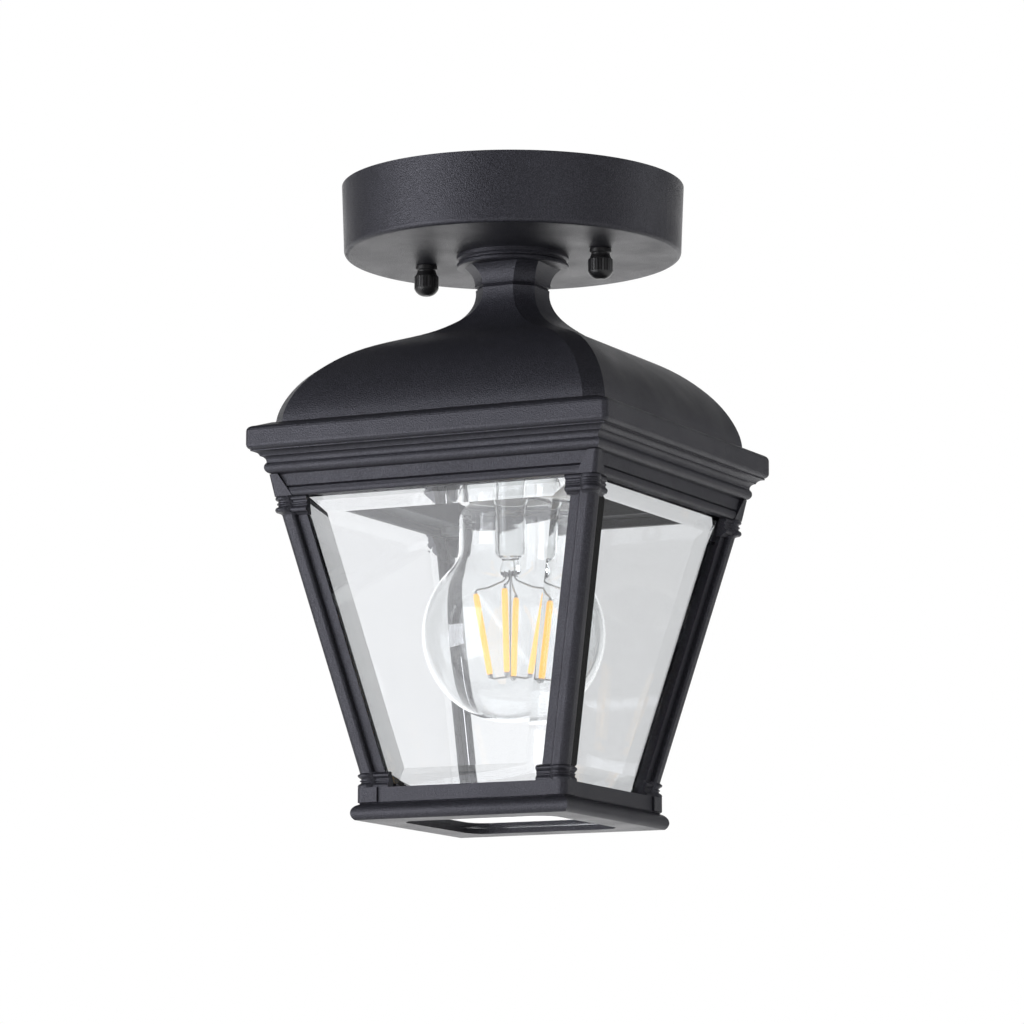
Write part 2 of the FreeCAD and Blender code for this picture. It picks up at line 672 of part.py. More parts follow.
def make_roof():
    """Cast bell roof on a square eave slab, hollow below its neck."""
    body = new_body("roof")
    spread = S.roof_half - S.neck_half
    bell = [(parting_level + S.roof_height * down, S.neck_half + spread * out) for out, down in BELL]
    loft(body, [eight_sides(body, level, half) for level, half in bell], ruled=False)
    loft(body, [eight_sides(body, parting_level, S.neck_half - S.parting_groove),
                eight_sides(body, bell[0][0], S.neck_half)])

    edge, shoulder = S.slab_edge_round, eave_level + S.slab_fall
    turns = [math.radians(22.5 * k) for k in range(5)]
    steps = [(1.0 - math.cos(turn), 1.0 - math.sin(turn)) for turn in turns]
    places = [(eave_level, S.roof_half)]
    places += [(shoulder + edge * down, S.slab_half - edge * inward) for down, inward in steps]
    places += [(slab_level - edge * down, S.slab_half - edge * inward) for down, inward in reversed(steps)]
    loft(body, [outline(new_sketch(body, level=level), rounded_square(half, S.slab_corner_round))
                for level, half in places])

    wall = S.roof_wall
    hollow = [(web_level, bell[BELL_HOLLOW_FROM][1] - wall - 1.0)]
    hollow += [(level + wall, half - wall) for level, half in bell[BELL_HOLLOW_FROM + 1:]]
    loft(body, [eight_sides(body, level, half) for level, half in hollow], cut=True, ruled=False)
    pocket(body, outline(new_sketch(body, level=eave_level + wall),
                         square(S.roof_half - wall, S.slab_web_cut)),
           S.slab_height)
    pocket(body, ring(new_sketch(body, level=0.0), S.pipe_diameter / 2 + S.fit_gap))
    boss = slab_level - S.slab_height + wall + 1.0
    screw = ring(new_sketch(body, level=boss), S.roof_screw_diameter / 2 + S.thread_gap,
                 S.roof_screw_place, S.roof_screw_place)
    around(body, pocket(body, screw, S.slab_height))
    return body


# ---------------------------------------------------------------- lampholder
def make_lampholder_hub():
    """Threaded metal hub and plate on the end of the pipe."""
    body = new_body("lampholder_hub")
    bore = S.pipe_diameter / 2 + S.thread_gap
    turned(body, [(bore, hub_level), (S.holder_hub_radius, hub_level), (S.holder_hub_radius, plate_level),
                  (S.holder_plate_radius, plate_level), (S.holder_plate_radius, holder_level),
                  (bore, holder_level)])
    holes = new_sketch(body, level=0.0)
    for side in (-1, 1):
        ring(holes, S.plate_screw_radius + S.thread_gap, 0.0, S.holder_screw_offset * side)
    pocket(body, holes)
    return body


def make_lampholder_body():
    """Porcelain lampholder: solid top with the lead hole, hollow for the screw shell, wider rim."""
    body = new_body("lampholder_body")
    hollow = S.shell_inner_radius + S.shell_wall + 0.4
    rim = holder_foot_level - S.holder_rim_height
    soft = 1.0
    turned(body, [
        (S.pipe_bore / 2, holder_level), (S.holder_top_radius - soft, holder_level, -soft),
        (S.holder_top_radius, holder_level + soft), (S.holder_top_radius, rim - 2.0),
        (S.holder_rim_radius, rim), (S.holder_rim_radius, holder_foot_level - soft, -soft),
        (S.holder_rim_radius - soft, holder_foot_level), (hollow, holder_foot_level),
        (hollow, holder_hollow_level), (S.pipe_bore / 2, holder_hollow_level)])
    holes = new_sketch(body, level=holder_level)
    for side in (-1, 1):
        ring(holes, S.plate_screw_radius + S.thread_gap, 0.0, S.holder_screw_offset * side)
    pocket(body, holes, S.plate_screw_length - S.holder_plate_thickness + 1.0)
    return body


def make_plate_screws():
    """The two screws that hold the porcelain to its plate."""
    screws = []
    for side in (-1, 1):
        body = new_body(f"plate_screw_{side + 2}")
        place = S.holder_screw_offset * side
        pad(body, ring(new_sketch(body, level=plate_level - S.plate_screw_head_height), S.plate_screw_head,
                       0.0, place), S.plate_screw_head_height)
        pad(body, ring(new_sketch(body, level=plate_level), S.plate_screw_radius, 0.0, place),
            S.plate_screw_length)
        screws.append(body)
    return group("plate_screws", screws)


def thread_section(radius, depth, pitch, start, length, count):
    """Corners of a rounded screw profile down one side, as (radius, level)."""
    corners = []
    for turn in range(count):
        level = start + pitch * turn
        corners += [(radius - depth, level), (radius, level + pitch * 0.35), (radius, level + pitch * 0.65)]
    return corners + [(radius - depth, start + pitch * count), (radius - depth, start + length)]


def make_screw_shell():
    """Rolled brass screw shell: thin, with its thread rolled outwards and a flat top round the contact."""
    body = new_body("screw_shell")
    inner, wall = S.shell_inner_radius, S.shell_wall
    top, end = holder_hollow_level + 0.4, holder_hollow_level + 0.4 + S.shell_length
    seat = 6.0
    turned(body, [(seat, top), (inner + wall, top), (inner + wall, end), (inner, end),
                  (inner, top + wall), (seat, top + wall)])
    return body


def make_centre_contact():
    """Brass centre contact: a rivet in the porcelain with a sprung tongue under it."""
    body = new_body("centre_contact")
    tongue = 0.6
    tip = lamp_tip_level - S.contact_gap
    turned(body, [(0, holder_hollow_level), (S.contact_rivet, holder_hollow_level),
                  (S.contact_rivet, holder_hollow_level + tongue), (S.contact_tongue, tip), (0, tip)])
    return body


def make_terminal_screws():
    """Two terminal screws in the sides of the porcelain."""
    screws = []
    for side in (-1, 1):
        body = new_body(f"terminal_screw_{side + 2}")
        sketch = new_sketch(body, "YZ_Plane")
        ring(sketch, S.terminal_screw_head, 0.0, -(holder_level + S.terminal_screw_drop))
        sketch.AttachmentOffset = FreeCAD.Placement(
            FreeCAD.Vector(0, 0, side * S.holder_top_radius.value), FreeCAD.Rotation())
        sketch.setExpression("AttachmentOffset.Base.z", (S.holder_top_radius * side).formula)
        feature = body.newObject("PartDesign::Pad", f"{body.Label}_pad")
        feature.Profile = sketch
        feature.Length = S.terminal_screw_rise.value
        feature.setExpression("Length", S.terminal_screw_rise.formula)
        feature.Reversed = side < 0
        settle(body, feature)
        screws.append(body)
    return group("terminal_screws", screws)


# ---------------------------------------------------------------- lamp
def make_bulb_cap():
    """Rolled screw cap of the lamp."""
    body = new_body("bulb_cap")
    count = int((S.cap_length.value - 2.5) // S.cap_pitch.value)
    outer = thread_section(S.cap_radius, S.cap_thread_depth, S.cap_pitch, cap_level, S.cap_length, count)
    inner = S.cap_radius - S.cap_thread_depth - S.cap_wall
    turned(body, [(inner, cap_level)] + outer + [(inner, glass_neck_level)])
    return body


def make_bulb_insulator():
    """Black glass insulator in the end of the cap."""
    body = new_body("bulb_insulator")
    turned(body, [(0, insulator_level), (S.insulator_radius, insulator_level),
                  (S.cap_radius - S.cap_thread_depth, cap_level), (0, cap_level)])
    return body


def make_bulb_contact():
    """Solder button of the lamp."""
    body = new_body("bulb_contact")
    turned(body, [(0, lamp_tip_level), (S.contact_radius / 2, lamp_tip_level),
                  (S.contact_radius, lamp_tip_level + 1.0), (S.contact_radius, insulator_level),
                  (0, insulator_level)])
    return body


def make_bulb_glass():
    """Envelope, blown thin: a narrow seat in the cap, a shoulder, a straight neck and a round end."""
    body = new_body("bulb_glass")
    rim_level = holder_foot_level + S.fit_gap
    fillet, neck, radius = S.bulb_neck_fillet, S.bulb_neck_radius, S.bulb_radius
    reach = radius + fillet
    sweep = root(reach * reach - (neck + fillet) * (neck + fillet))

    def profile(inset):
        """Corners down one skin, each with the radius of the arc that leaves it."""
        share = (radius - inset) / reach
        return [(seat_radius - inset, seat_level), (seat_radius - inset, glass_neck_level),
                (seat_radius + 1.6 - inset, rim_level, -S.bulb_shoulder + inset),
                (neck - inset, rim_level + S.bulb_shoulder),
                (neck - inset, bulb_centre_level - sweep, fillet + inset),
                ((neck + fillet) * share, bulb_centre_level - sweep * share, inset - radius),
                (radius - inset, bulb_centre_level, inset - radius), (0, bulb_end_level - inset)]

    outer, inner = profile(0.0), profile(S.bulb_wall)
    back = [(inner[k][0], inner[k][1], *[-r for r in inner[k - 1][2:]]) for k in range(len(inner) - 1, 0, -1)]
    turned(body, outer + back + [inner[0]])
    return body


def make_bulb_stem():
    """Glass stem: a tube with a flare that closes the neck, ending in a pinched foot."""
    body = new_body("bulb_stem")
    top, foot, radius = seat_level, stem_foot_level, S.stem_radius
    flare = seat_radius - S.bulb_wall - S.thread_gap
    turned(body, [(0, top), (flare, top), (flare, top + 1.2), (radius + 1.5, top + 4.5),
                  (radius, top + 9.0), (radius, foot - 6.0), (radius - 1.2, foot), (0, foot)])
    return body


def filament_ends():
    """Upper and lower ends of the four filaments."""
    top = (stem_foot_level + S.filament_drop).value
    bottom = top + S.filament_length.value
    for turn in range(4):
        angle = math.radians(S.filament_turn.value + 90 * turn)
        out = FreeCAD.Vector(math.cos(angle), math.sin(angle), 0)
        yield (out * S.filament_circle.value - FreeCAD.Vector(0, 0, top),
               out * S.filament_foot_circle.value - FreeCAD.Vector(0, 0, bottom))


def rod(start, end, radius):
    return Part.makeCylinder(radius, (end - start).Length, start, end - start)


def make_filaments():
    """Four coated filament sticks, leaning in towards their lower ends."""
    sticks = [rod(upper, lower, S.filament_width.value / 2) for upper, lower in filament_ends()]
    feature = doc.addObject("Part::Feature", "bulb_filaments")
    feature.Label = "bulb_filaments"
    feature.Shape = Part.makeCompound(sticks)
    feature.Placement = FreeCAD.Placement()
    return feature


def make_support_wires():
    """Wires from the stem to the filaments' upper ends, and the cross that joins their lower ends."""
    wire = S.support_wire_radius.value
    foot = FreeCAD.Vector(0, 0, -stem_foot_level.value)
    ends = list(filament_ends())
    hub = FreeCAD.Vector(0, 0, ends[0][1].z)
    pieces = [Part.makeCylinder(1.2, 2.0, foot, FreeCAD.Vector(0, 0, -1)), rod(foot, hub, wire)]
    for upper, lower in ends:
        pieces.append(rod(foot - FreeCAD.Vector(0, 0, 1.0), upper, wire))
        pieces.append(rod(hub, lower, wire))
    pieces.append(Part.makeSphere(wire * 1.6, hub))
    feature = doc.addObject("Part::Feature", "bulb_support_wires")
    feature.Label = "bulb_support_wires"
    feature.Shape = pieces[0].multiFuse(pieces[1:])
    feature.Placement = FreeCAD.Placement()
    return feature


# ---------------------------------------------------------------- cage
def make_cornice_frame():
    """Square cast frame under the roof: mouldings, upper rail and the channel for the panes."""
    body = new_body("cornice_frame")
    step_level = slab_level + S.moulding_top_height
    cove_level = step_level + S.moulding_cove_height
    groove, half_groove = rail_top_level + S.rail_groove_drop, 0.4
    rail = S.rail_half
    mitred(body, [
        (S.moulding_top_half, slab_level), (S.moulding_top_half, slab_level + 0.4, 2.6),
        (S.moulding_step_half, step_level - 0.2), (S.moulding_step_half, step_level, 1.9),
        (S.moulding_cove_half, cove_level - 0.4), (S.moulding_cove_half, cove_level, -2.2),
        (S.moulding_foot_half, rail_top_level - 0.3), (rail, rail_top_level),
        (rail, groove - half_groove), (rail - S.rail_groove_depth, groove), (rail, groove + half_groove),
        (rail + 0.2, rail_level - 1.4, -1.6), (rail - 0.4, rail_level)], S.slab_half)

    pocket(body, outline(new_sketch(body, level=slab_level), square(S.frame_opening_half)),
           rail_level - slab_level)
    # the channel: outer lip behind the rail, flat ledge, thin inner wall
    channel = [outline(new_sketch(body, level=level), square(cage_half(level) - post_setback + S.glass_gap))
               for level in (ledge_level, rail_level)]
    loft(body, channel, cut=True)
    wall = outline(new_sketch(body, level=ledge_level - 0.2), square(S.channel_half))
    outline(wall, square(S.channel_half - S.channel_wall))
    pad(body, wall, rail_level - ledge_level + 0.2)

    notch = [outline(new_sketch(body, level=level), corner_square(S.rail_half + 4.0, inner))
             for level, _, inner in capital_block(S.thread_gap)]
    around(body, loft(body, notch, cut=True))
    height = rail_level - slab_level
    for place, radius, depth in (
            (S.post_screw_place, S.post_screw_diameter / 2 + S.screw_hole_gap, height),
            (S.post_screw_place, S.post_screw_head / 2 + S.fit_gap, S.post_screw_head_height + S.fit_gap),
            (S.roof_screw_place, S.roof_screw_diameter / 2 + S.screw_hole_gap, height)):
        around(body, pocket(body, ring(new_sketch(body, level=slab_level), radius, place, place), depth))
    return body


def capital_block(clearance):
    """Levels of the capital block, its outer planes there and where it starts inwards."""
    top, foot = S.capital_top_half, S.capital_foot_half
    return ((rail_top_level, top, top - S.capital_top_width - clearance),
            (rail_level, foot, foot - S.capital_foot_width - clearance))


def corner_square(outer, inner):
    """Corners of a square in the +X +Y corner, from inner to outer both ways."""
    return [(outer, outer), (inner, outer), (inner, inner), (outer, inner)]


def round_corner_square(outer, inner, radius):
    """The same square with its outermost corner rounded."""
    return [(outer, outer - radius, radius), (outer - radius, outer), (inner, outer),
            (inner, inner), (outer, inner)]


def post_section(body, level):
    """Section of the plain post: a rounded square bead on the corner, two flanges set back from it."""
    outer = cage_half(level)
    face, back, end = outer - S.flange_setback, outer - post_setback, outer - S.flange_length
    side, nose, edge = outer - S.post_bead, outer - S.post_bead_round, S.post_bead_edge
    return outline(new_sketch(body, level=level), [
        (face, end), (face, side), (outer - edge, side, edge), (outer, side + edge),
        (outer, nose, S.post_bead_round), (nose, outer), (side + edge, outer, edge), (side, outer - edge),
        (side, face), (end, face), (end, back), (back, back), (back, end)])


def ring_section(body, level, outer, length):
    """Section of a ring: an angle with a rounded corner that wraps the post."""
    face, end, rounding = outer - S.ring_setback, outer - length, S.ring_round
    back = cage_half(level) - post_setback
    corner = outer - rounding
    meeting = corner - root(rounding * rounding - (rounding - S.ring_setback) * (rounding - S.ring_setback))
    return outline(new_sketch(body, level=level), [
        (face, end), (face, meeting, rounding, True), (meeting, face), (end, face), (end, back),
        (back, back), (back, end)])


def make_post(label, turn):
    """Cast corner post: bead and flanges, capital block and rings above, foot rings and block below."""
    body = new_body(label)
    loft(body, [post_section(body, rail_level), post_section(body, base_top_level)])
    # share of the height, share of the bulge from waist to ring: two full rings, a fine one between
    capital = ((0.0, 0.55), (0.05, 0.9), (0.12, 1.0), (0.19, 0.85), (0.25, 0.1), (0.33, 0.0),
               (0.38, 0.45), (0.43, 0.45), (0.48, 0.0), (0.56, 0.1), (0.62, 0.75), (0.7, 1.0),
               (0.78, 0.95), (0.85, 0.6), (0.9, -0.6), (1.0, -1.4))
    foot = ((0.0, -0.6), (0.1, 0.5), (0.18, 1.0), (0.28, 1.0), (0.38, 0.4), (0.43, 0.0), (0.49, 0.0),
            (0.53, 0.4), (0.58, 0.4), (0.62, 0.0), (0.7, 0.1), (0.8, 0.8), (0.88, 1.0), (1.0, 0.9))
    for rings, start, height, waist, full, length in (
            (capital, rail_level, S.capital_height, S.ring_waist_half, S.ring_half, S.ring_length),
            (foot, base_top_level - S.foot_height, S.foot_height, S.foot_waist_half, S.foot_ring_half,
             S.foot_ring_length)):
        loft(body, [ring_section(body, start + height * down, waist + (full - waist) * out,
                                 length - (full - waist) * (1.0 - out)) for down, out in rings])

    loft(body, [outline(new_sketch(body, level=level), round_corner_square(outer, inner, S.capital_round))
                for level, outer, inner in capital_block(0.0)])
    core = pane_end - S.glass_gap
    for top, bottom in ((rail_level, rail_level + S.core_height),
                        (base_top_level - S.foot_height, base_top_level)):
        loft(body, [outline(new_sketch(body, level=level),
                            corner_square(cage_half(level) - S.flange_setback, cage_half(level) - core))
                    for level in (top, bottom)])
    pad(body, outline(new_sketch(body, level=base_top_level),
                      round_corner_square(S.foot_block_half, S.foot_block_half - S.foot_block_width,
                                          S.post_bead_round)), S.foot_block_height)
    spigot = S.foot_block_half - S.foot_block_width / 2
    pad(body, ring(new_sketch(body, level=base_top_level + S.foot_block_height), S.spigot_radius,
                   spigot, spigot), S.spigot_length)
    pocket(body, ring(new_sketch(body, level=rail_top_level), S.post_screw_diameter / 2 + S.thread_gap,
                      S.post_screw_place, S.post_screw_place),
           slab_level + S.post_screw_head_height + S.post_screw_length + 1.0 - rail_top_level)
    body.Placement = FreeCAD.Placement(FreeCAD.Vector(), FreeCAD.Rotation(FreeCAD.Vector(0, 0, 1), 90 * turn))
    doc.recompute()
    return body


def make_post_screws():
    """Screws down through the cornice frame into the posts."""
    screws = []
    for number, (x, y) in enumerate(square(S.post_screw_place), start=1):
        body = new_body(f"post_screw_{number}")
        pad(body, ring(new_sketch(body, level=slab_level + S.fit_gap), S.post_screw_head / 2, x, y),
            S.post_screw_head_height)
        pad(body, ring(new_sketch(body, level=slab_level + S.fit_gap + S.post_screw_head_height),
                       S.post_screw_diameter / 2, x, y), S.post_screw_length)
        screws.append(body)
    return group("post_screws", screws)


def make_roof_screws():
    """Screws up through the cornice frame into the eave slab, which let the cage down."""
    screws = []
    for number, (x, y) in enumerate(square(S.roof_screw_place), start=1):
        body = new_body(f"roof_screw_{number}")
        pad(body, ring(new_sketch(body, level=ledge_level), S.roof_screw_head / 2, x, y),
            S.roof_screw_head_height)
        pad(body, ring(new_sketch(body, level=ledge_level - S.roof_screw_length),
                       S.roof_screw_diameter / 2, x, y), S.roof_screw_length)
        screws.append(body)
    return group("roof_screws", screws)


def make_base_frame():
    """Square cast base: rail, bead, a ledge for the side panes and a lip for the bottom glass."""
    body = new_body("base_frame")
    rail, bead, bead_level = S.base_half, S.base_bead_half, base_rail_level + 0.5
    mitred(body, [
        (rail, base_top_level), (rail, base_rail_level), (rail - S.base_undercut, bead_level),
        (rail + 0.6, bead_level + 0.5, -3.1), (bead, bead_level + 2.9, -3.1), (bead - 1.2, base_level)],
        bead + 2.0)
    pane_plane = cage_half(base_top_level) - post_setback + S.glass_gap
    ledge = base_top_level + S.base_ledge_drop
    pocket_half = S.bottom_glass_half + S.glass_gap
    pocket(body, outline(new_sketch(body, level=base_top_level), square(pane_plane)), S.base_ledge_drop)
    pocket(body, outline(new_sketch(body, level=ledge), square(pocket_half)), bottom_glass_level - ledge)
    pocket(body, outline(new_sketch(body, level=bottom_glass_level),
                         rounded_square(S.base_opening_half, S.base_opening_round)), S.base_lip_height)
    inner = S.foot_block_half - S.foot_block_width - S.thread_gap
    notch = outline(new_sketch(body, level=base_top_level), corner_square(S.foot_block_half + 4.0, inner))
    around(body, pocket(body, notch, S.foot_block_height + S.thread_gap))
    spigot = S.foot_block_half - S.foot_block_width / 2
    hole = ring(new_sketch(body, level=base_top_level + S.foot_block_height), S.spigot_radius + S.thread_gap,
                spigot, spigot)
    around(body, pocket(body, hole, S.spigot_length + S.fit_gap))
    return body


def pane_section(level, inset, depth):
    """Half-width of a pane and its distance from the axis at a level."""
    half = cage_half(level)
    return half - pane_end - inset, half - post_setback - depth


def pane_pieces(label):
    """A pane's slab, and the corners of the raised middle that its wide bevel leaves."""
    body = new_body(label)
    bevel, edge_drop = S.bevel_width, S.glass_thickness - S.pane_edge
    levels = (pane_head_level, pane_foot_level)

    def slab(inset, depth, back):
        sections = []
        for level in levels:
            width, face = pane_section(level, inset, depth)
            rear = cage_half(level) - post_setback - back
            corners = [(width, -face), (width, -rear), (-width, -rear), (-width, -face)]
            sections.append(outline(new_sketch(body, level=level), corners))
        return sections

    loft(body, slab(0.0, edge_drop, S.glass_thickness))
    # the raised middle of the pane and its four sloping bevels
    head, foot = levels
    raised = []
    for inset, depth in ((0.0, edge_drop), (bevel, 0.0)):
        corners = []
        for level, side in ((head + inset, 1), (head + inset, -1), (foot - inset, -1), (foot - inset, 1)):
            width, face = pane_section(level, inset, depth)
            corners.append(FreeCAD.Vector(side * width.value, -face.value, -level.value))
        raised.append(corners)
    return body, raised


def frustum(lower, upper):
    """A solid between two four-cornered outlines that lie in parallel planes."""
    faces = [Part.Face(Part.makePolygon(lower + lower[:1])), Part.Face(Part.makePolygon(upper + upper[:1]))]
    for k in range(4):
        n = (k + 1) % 4
        faces.append(Part.Face(Part.makePolygon([lower[k], lower[n], upper[n], upper[k], lower[k]])))
    return Part.makeSolid(Part.makeShell(faces))


def make_bevelled_pane(label, turn):
    """A pane with its bevels, turned to its side of the cage."""
    slab, raised = pane_pieces(f"{label}_slab")
    middle = doc.addObject("Part::Feature", f"{label}_middle")
    middle.Shape = frustum(*raised)
    pane = doc.addObject("Part::Fuse", label)
    pane.Label = label
    pane.Base = slab
    pane.Tool = middle
    pane.Refine = True
    pane.Placement = FreeCAD.Placement(FreeCAD.Vector(), FreeCAD.Rotation(FreeCAD.Vector(0, 0, 1), 90 * turn))
    doc.recompute()
    return pane


def make_bottom_glass():
    """Flat bottom glass, laid on the base's lip, with its corners cut to pass the clips."""
    body = new_body("bottom_glass")
    pad(body, outline(new_sketch(body, level=bottom_glass_level - S.bottom_glass_thickness),
                      square(S.bottom_glass_half, S.bottom_glass_cut)), S.bottom_glass_thickness)
    return body


def make_corner_clips():
    """Corner clips, bonded to the posts' cores, that hold the lower ends of the panes."""
    clips = []
    top = base_top_level - S.clip_rise
    core = pane_end - S.glass_gap
    for turn in range(4):
        body = new_body(f"corner_clip_{turn + 1}")
        sections = []
        for level in (top, top + S.clip_height):
            post = cage_half(level) - core
            face = cage_half(level) - post_setback - S.glass_thickness - S.glass_gap
            inner, end = face - S.clip_web, post - S.clip_leg
            legs = [(end, face), (post, face), (post, post), (face, post), (face, end), (inner, end),
                    (inner, inner), (end, inner)]
            sections.append(outline(new_sketch(body, level=level), legs))
        loft(body, sections)
        body.Placement = FreeCAD.Placement(FreeCAD.Vector(),
                                           FreeCAD.Rotation(FreeCAD.Vector(0, 0, 1), 90 * turn))
        clips.append(body)
    return group("corner_clips", clips)


# ---------------------------------------------------------------- the whole lantern
def build_parts():
    bore = S.pipe_diameter / 2 + S.thread_gap
    half_stud = S.stud_spacing / 2
    parts = [make_crossbar(), make_stud("stud_left", -1), make_stud("stud_right", 1)]
    locknuts = [hex_nut(f"locknut_{side + 2}", S.crossbar_thickness, S.locknut_height, S.locknut_flats,
                        S.stud_diameter / 2 + S.thread_gap, half_stud * side) for side in (-1, 1)]
    parts += [group("stud_locknuts", locknuts), make_earth_screw(), make_canopy()]
    parts += [make_cap_nut("cap_nut_left", -1), make_cap_nut("cap_nut_right", 1), make_neck_collar()]
    pipe_top = canopy_floor - S.pipe_rise
    parts.append(tube("hanger_pipe", pipe_top, parting_level + S.pipe_drop - pipe_top,
                      S.pipe_diameter / 2, S.pipe_bore / 2))
    parts.append(tube("canopy_washer", canopy_floor - S.washer_thickness, S.washer_thickness,
                      S.washer_radius, bore))
    parts.append(hex_nut("canopy_nut", canopy_floor - S.washer_thickness - S.nut_height, S.nut_height,
                         S.nut_flats, bore))
    parts += [make_roof(), tube("roof_washer", web_level, S.washer_thickness, S.washer_radius, bore)]
    parts.append(hex_nut("roof_nut", roof_nut_level, S.nut_height, S.nut_flats, bore))
    parts += [make_lampholder_hub(), make_lampholder_body(), make_plate_screws(), make_screw_shell(),
              make_centre_contact(), make_terminal_screws()]
    parts += [make_bulb_cap(), make_bulb_insulator(), make_bulb_contact(), make_bulb_glass(),
              make_bulb_stem(), make_filaments(), make_support_wires()]
    parts.append(make_cornice_frame())
    for turn, place in enumerate(("back_right", "back_left", "front_left", "front_right")):
        parts.append(make_post(f"post_{place}", turn))
    for turn, place in enumerate(("front", "right", "back", "left")):
        parts.append(make_bevelled_pane(f"pane_{place}", turn))
    parts += [make_post_screws(), make_roof_screws(), make_base_frame(), make_bottom_glass(),
              make_corner_clips()]
    return parts


def check_and_write(parts):
    for item in doc.Objects:
        if "Invalid" in item.State or "Error" in item.State:
            raise RuntimeError(f"{item.Label} failed")
    for item in parts:
        if item.Shape.isNull() or not item.Shape.isValid():
            raise RuntimeError(f"{item.Label} has no valid shape")
    os.makedirs("parts", exist_ok=True)
    for item in parts:
        item.Shape.exportStep(os.path.join("parts", f"{item.Label}.step"))
        print(f"{item.Label}: {len(item.Shape.Solids)} solid(s), {item.Shape.Volume:.1f} mm3")


check_and_write(build_parts())
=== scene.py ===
"""Porch ceiling lantern: finishes, the lamp's blown and drawn parts, and a white studio."""

import math

import bmesh
import bpy
from bpy.props import FloatProperty, FloatVectorProperty, PointerProperty
from mathutils import Matrix, Vector


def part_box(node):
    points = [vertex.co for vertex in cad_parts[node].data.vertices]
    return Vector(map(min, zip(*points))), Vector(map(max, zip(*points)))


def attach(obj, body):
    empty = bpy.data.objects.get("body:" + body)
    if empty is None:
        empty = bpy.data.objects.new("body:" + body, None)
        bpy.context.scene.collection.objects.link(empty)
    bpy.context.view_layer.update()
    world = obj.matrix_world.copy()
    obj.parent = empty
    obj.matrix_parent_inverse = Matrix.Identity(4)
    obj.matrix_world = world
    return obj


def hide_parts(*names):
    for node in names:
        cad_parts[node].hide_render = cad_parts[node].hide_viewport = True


bl_info = {
    "name": "Porch Ceiling Lantern",
    "version": (1, 0, 0),
    "blender": (4, 5, 0),
    "location": "View3D > Sidebar > Lantern",
    "description": "Finishes, lamp and studio for a porch ceiling lantern",
    "category": "Object",
}

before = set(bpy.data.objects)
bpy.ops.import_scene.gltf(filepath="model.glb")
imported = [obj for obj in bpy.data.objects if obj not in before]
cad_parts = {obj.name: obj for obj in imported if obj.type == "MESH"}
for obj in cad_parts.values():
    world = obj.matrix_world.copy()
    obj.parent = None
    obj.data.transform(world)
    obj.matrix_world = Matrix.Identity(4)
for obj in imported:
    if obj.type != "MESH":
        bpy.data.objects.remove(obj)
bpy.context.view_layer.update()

MM = 0.001
CASTINGS = ("neck_collar", "roof", "cornice_frame", "post_back_right", "post_back_left",
            "post_front_left", "post_front_right", "base_frame", "corner_clips")
CAP_NUTS = ("cap_nut_left", "cap_nut_right")
ZINC_PARTS = ("crossbar", "stud_locknuts", "canopy_washer", "canopy_nut", "roof_washer", "roof_nut",
              "lampholder_hub", "plate_screws", "post_screws", "roof_screws")
BRASS_PARTS = ("screw_shell", "centre_contact", "terminal_screws")
SIDE_PANES = ("pane_front", "pane_right", "pane_back", "pane_left")

# Sizes in mm, as in the part's source; levels and outer sizes come from the frame.
LAMP_SEAT_RADIUS = 11.65
LAMP_SEAT = 4.0
LAMP_RIM_DROP = 2.7
LAMP_RIM_SPREAD = 1.6
LAMP_SHOULDER = 6.4
LAMP_NECK_RADIUS = 17.9
LAMP_NECK_FILLET = 12.0
LAMP_WALL = 0.8
CAP_THREAD_DEPTH = 0.9
CAP_WALL = 0.5
CAP_PITCH = 3.6
STEM_RADIUS = 5.3
STEM_WALL = 0.7
STEM_PINCH = 7.5
STEM_LIP = 1.2
STEM_FLARE_DEPTH = 8.0
STEM_FLARE_CURVE = 9.0
STEM_TAPER_DEPTH = 12.0
STEM_TAPER = 0.4
STEM_LEAST_BORE = 0.3
FILAMENT_TOP_CIRCLE = 12.3
FILAMENT_FOOT_CIRCLE = 6.8
FILAMENT_WIDTH = 2.1
LEAD_RADIUS = 0.34
LEAD_SPREAD = 1.6
LEAD_ROOT_DEPTH = 2.2
LEAD_ELBOW_DROP = 1.4
LEAD_ELBOW_REACH = 1.0
TAB_RADIUS = 0.6
KNOT_RADIUS = 0.95
STUD_PITCH = 0.7
PIPE_PITCH = 1.0
PIPE_BORE_RADIUS = 3.6

# A count, a turn in degrees, and two shares: of the stem's depth, and of a thread's pitch.
FILAMENTS = 4
FILAMENT_TURN = 17.0
STEM_PINCH_FLATNESS = 0.45
THREAD_DEPTH_SHARE = 0.3

# The pinch of the stem, downwards: share of the stem's radius, share of the pinch's height.
PINCH = ((0.97, 1.0), (0.8, 0.86), (0.6, 0.74), (0.56, 0.62), (0.66, 0.5), (0.74, 0.36), (0.7, 0.16),
         (0.5, 0.0))
# One filament from end to end: share of its length, share of its radius.
STICK = ((0.02, 0.45), (0.03, 0.8), (0.06, 1.0), (0.5, 1.0), (0.93, 1.0), (0.95, 0.8), (0.96, 0.45))

# The studio in metres: each lamp's name, its place and the side of its square.
STUDIO_LAMPS = (("key", (-0.60, -1.12, 0.12), 0.7), ("fill", (-0.60, -1.12, -0.55), 0.7),
                ("side", (-1.15, -1.0, -0.22), 0.6), ("front", (1.2, -0.9, 0.2), 0.9),
                ("rim", (1.3, 0.9, 0.25), 0.7))
LAMPS_AIM = (0.0, 0.0, -0.12)
FLOOR_HALF = 6.0
# Heights on the world's sphere between which the room goes from its low to its high brightness.
ROOM_SLOPE = (-0.6, 0.5)
# How squarely a direction faces the backdrop: outside its soft edge, and well inside it.
BACKDROP_EDGE = (0.7, 0.92)


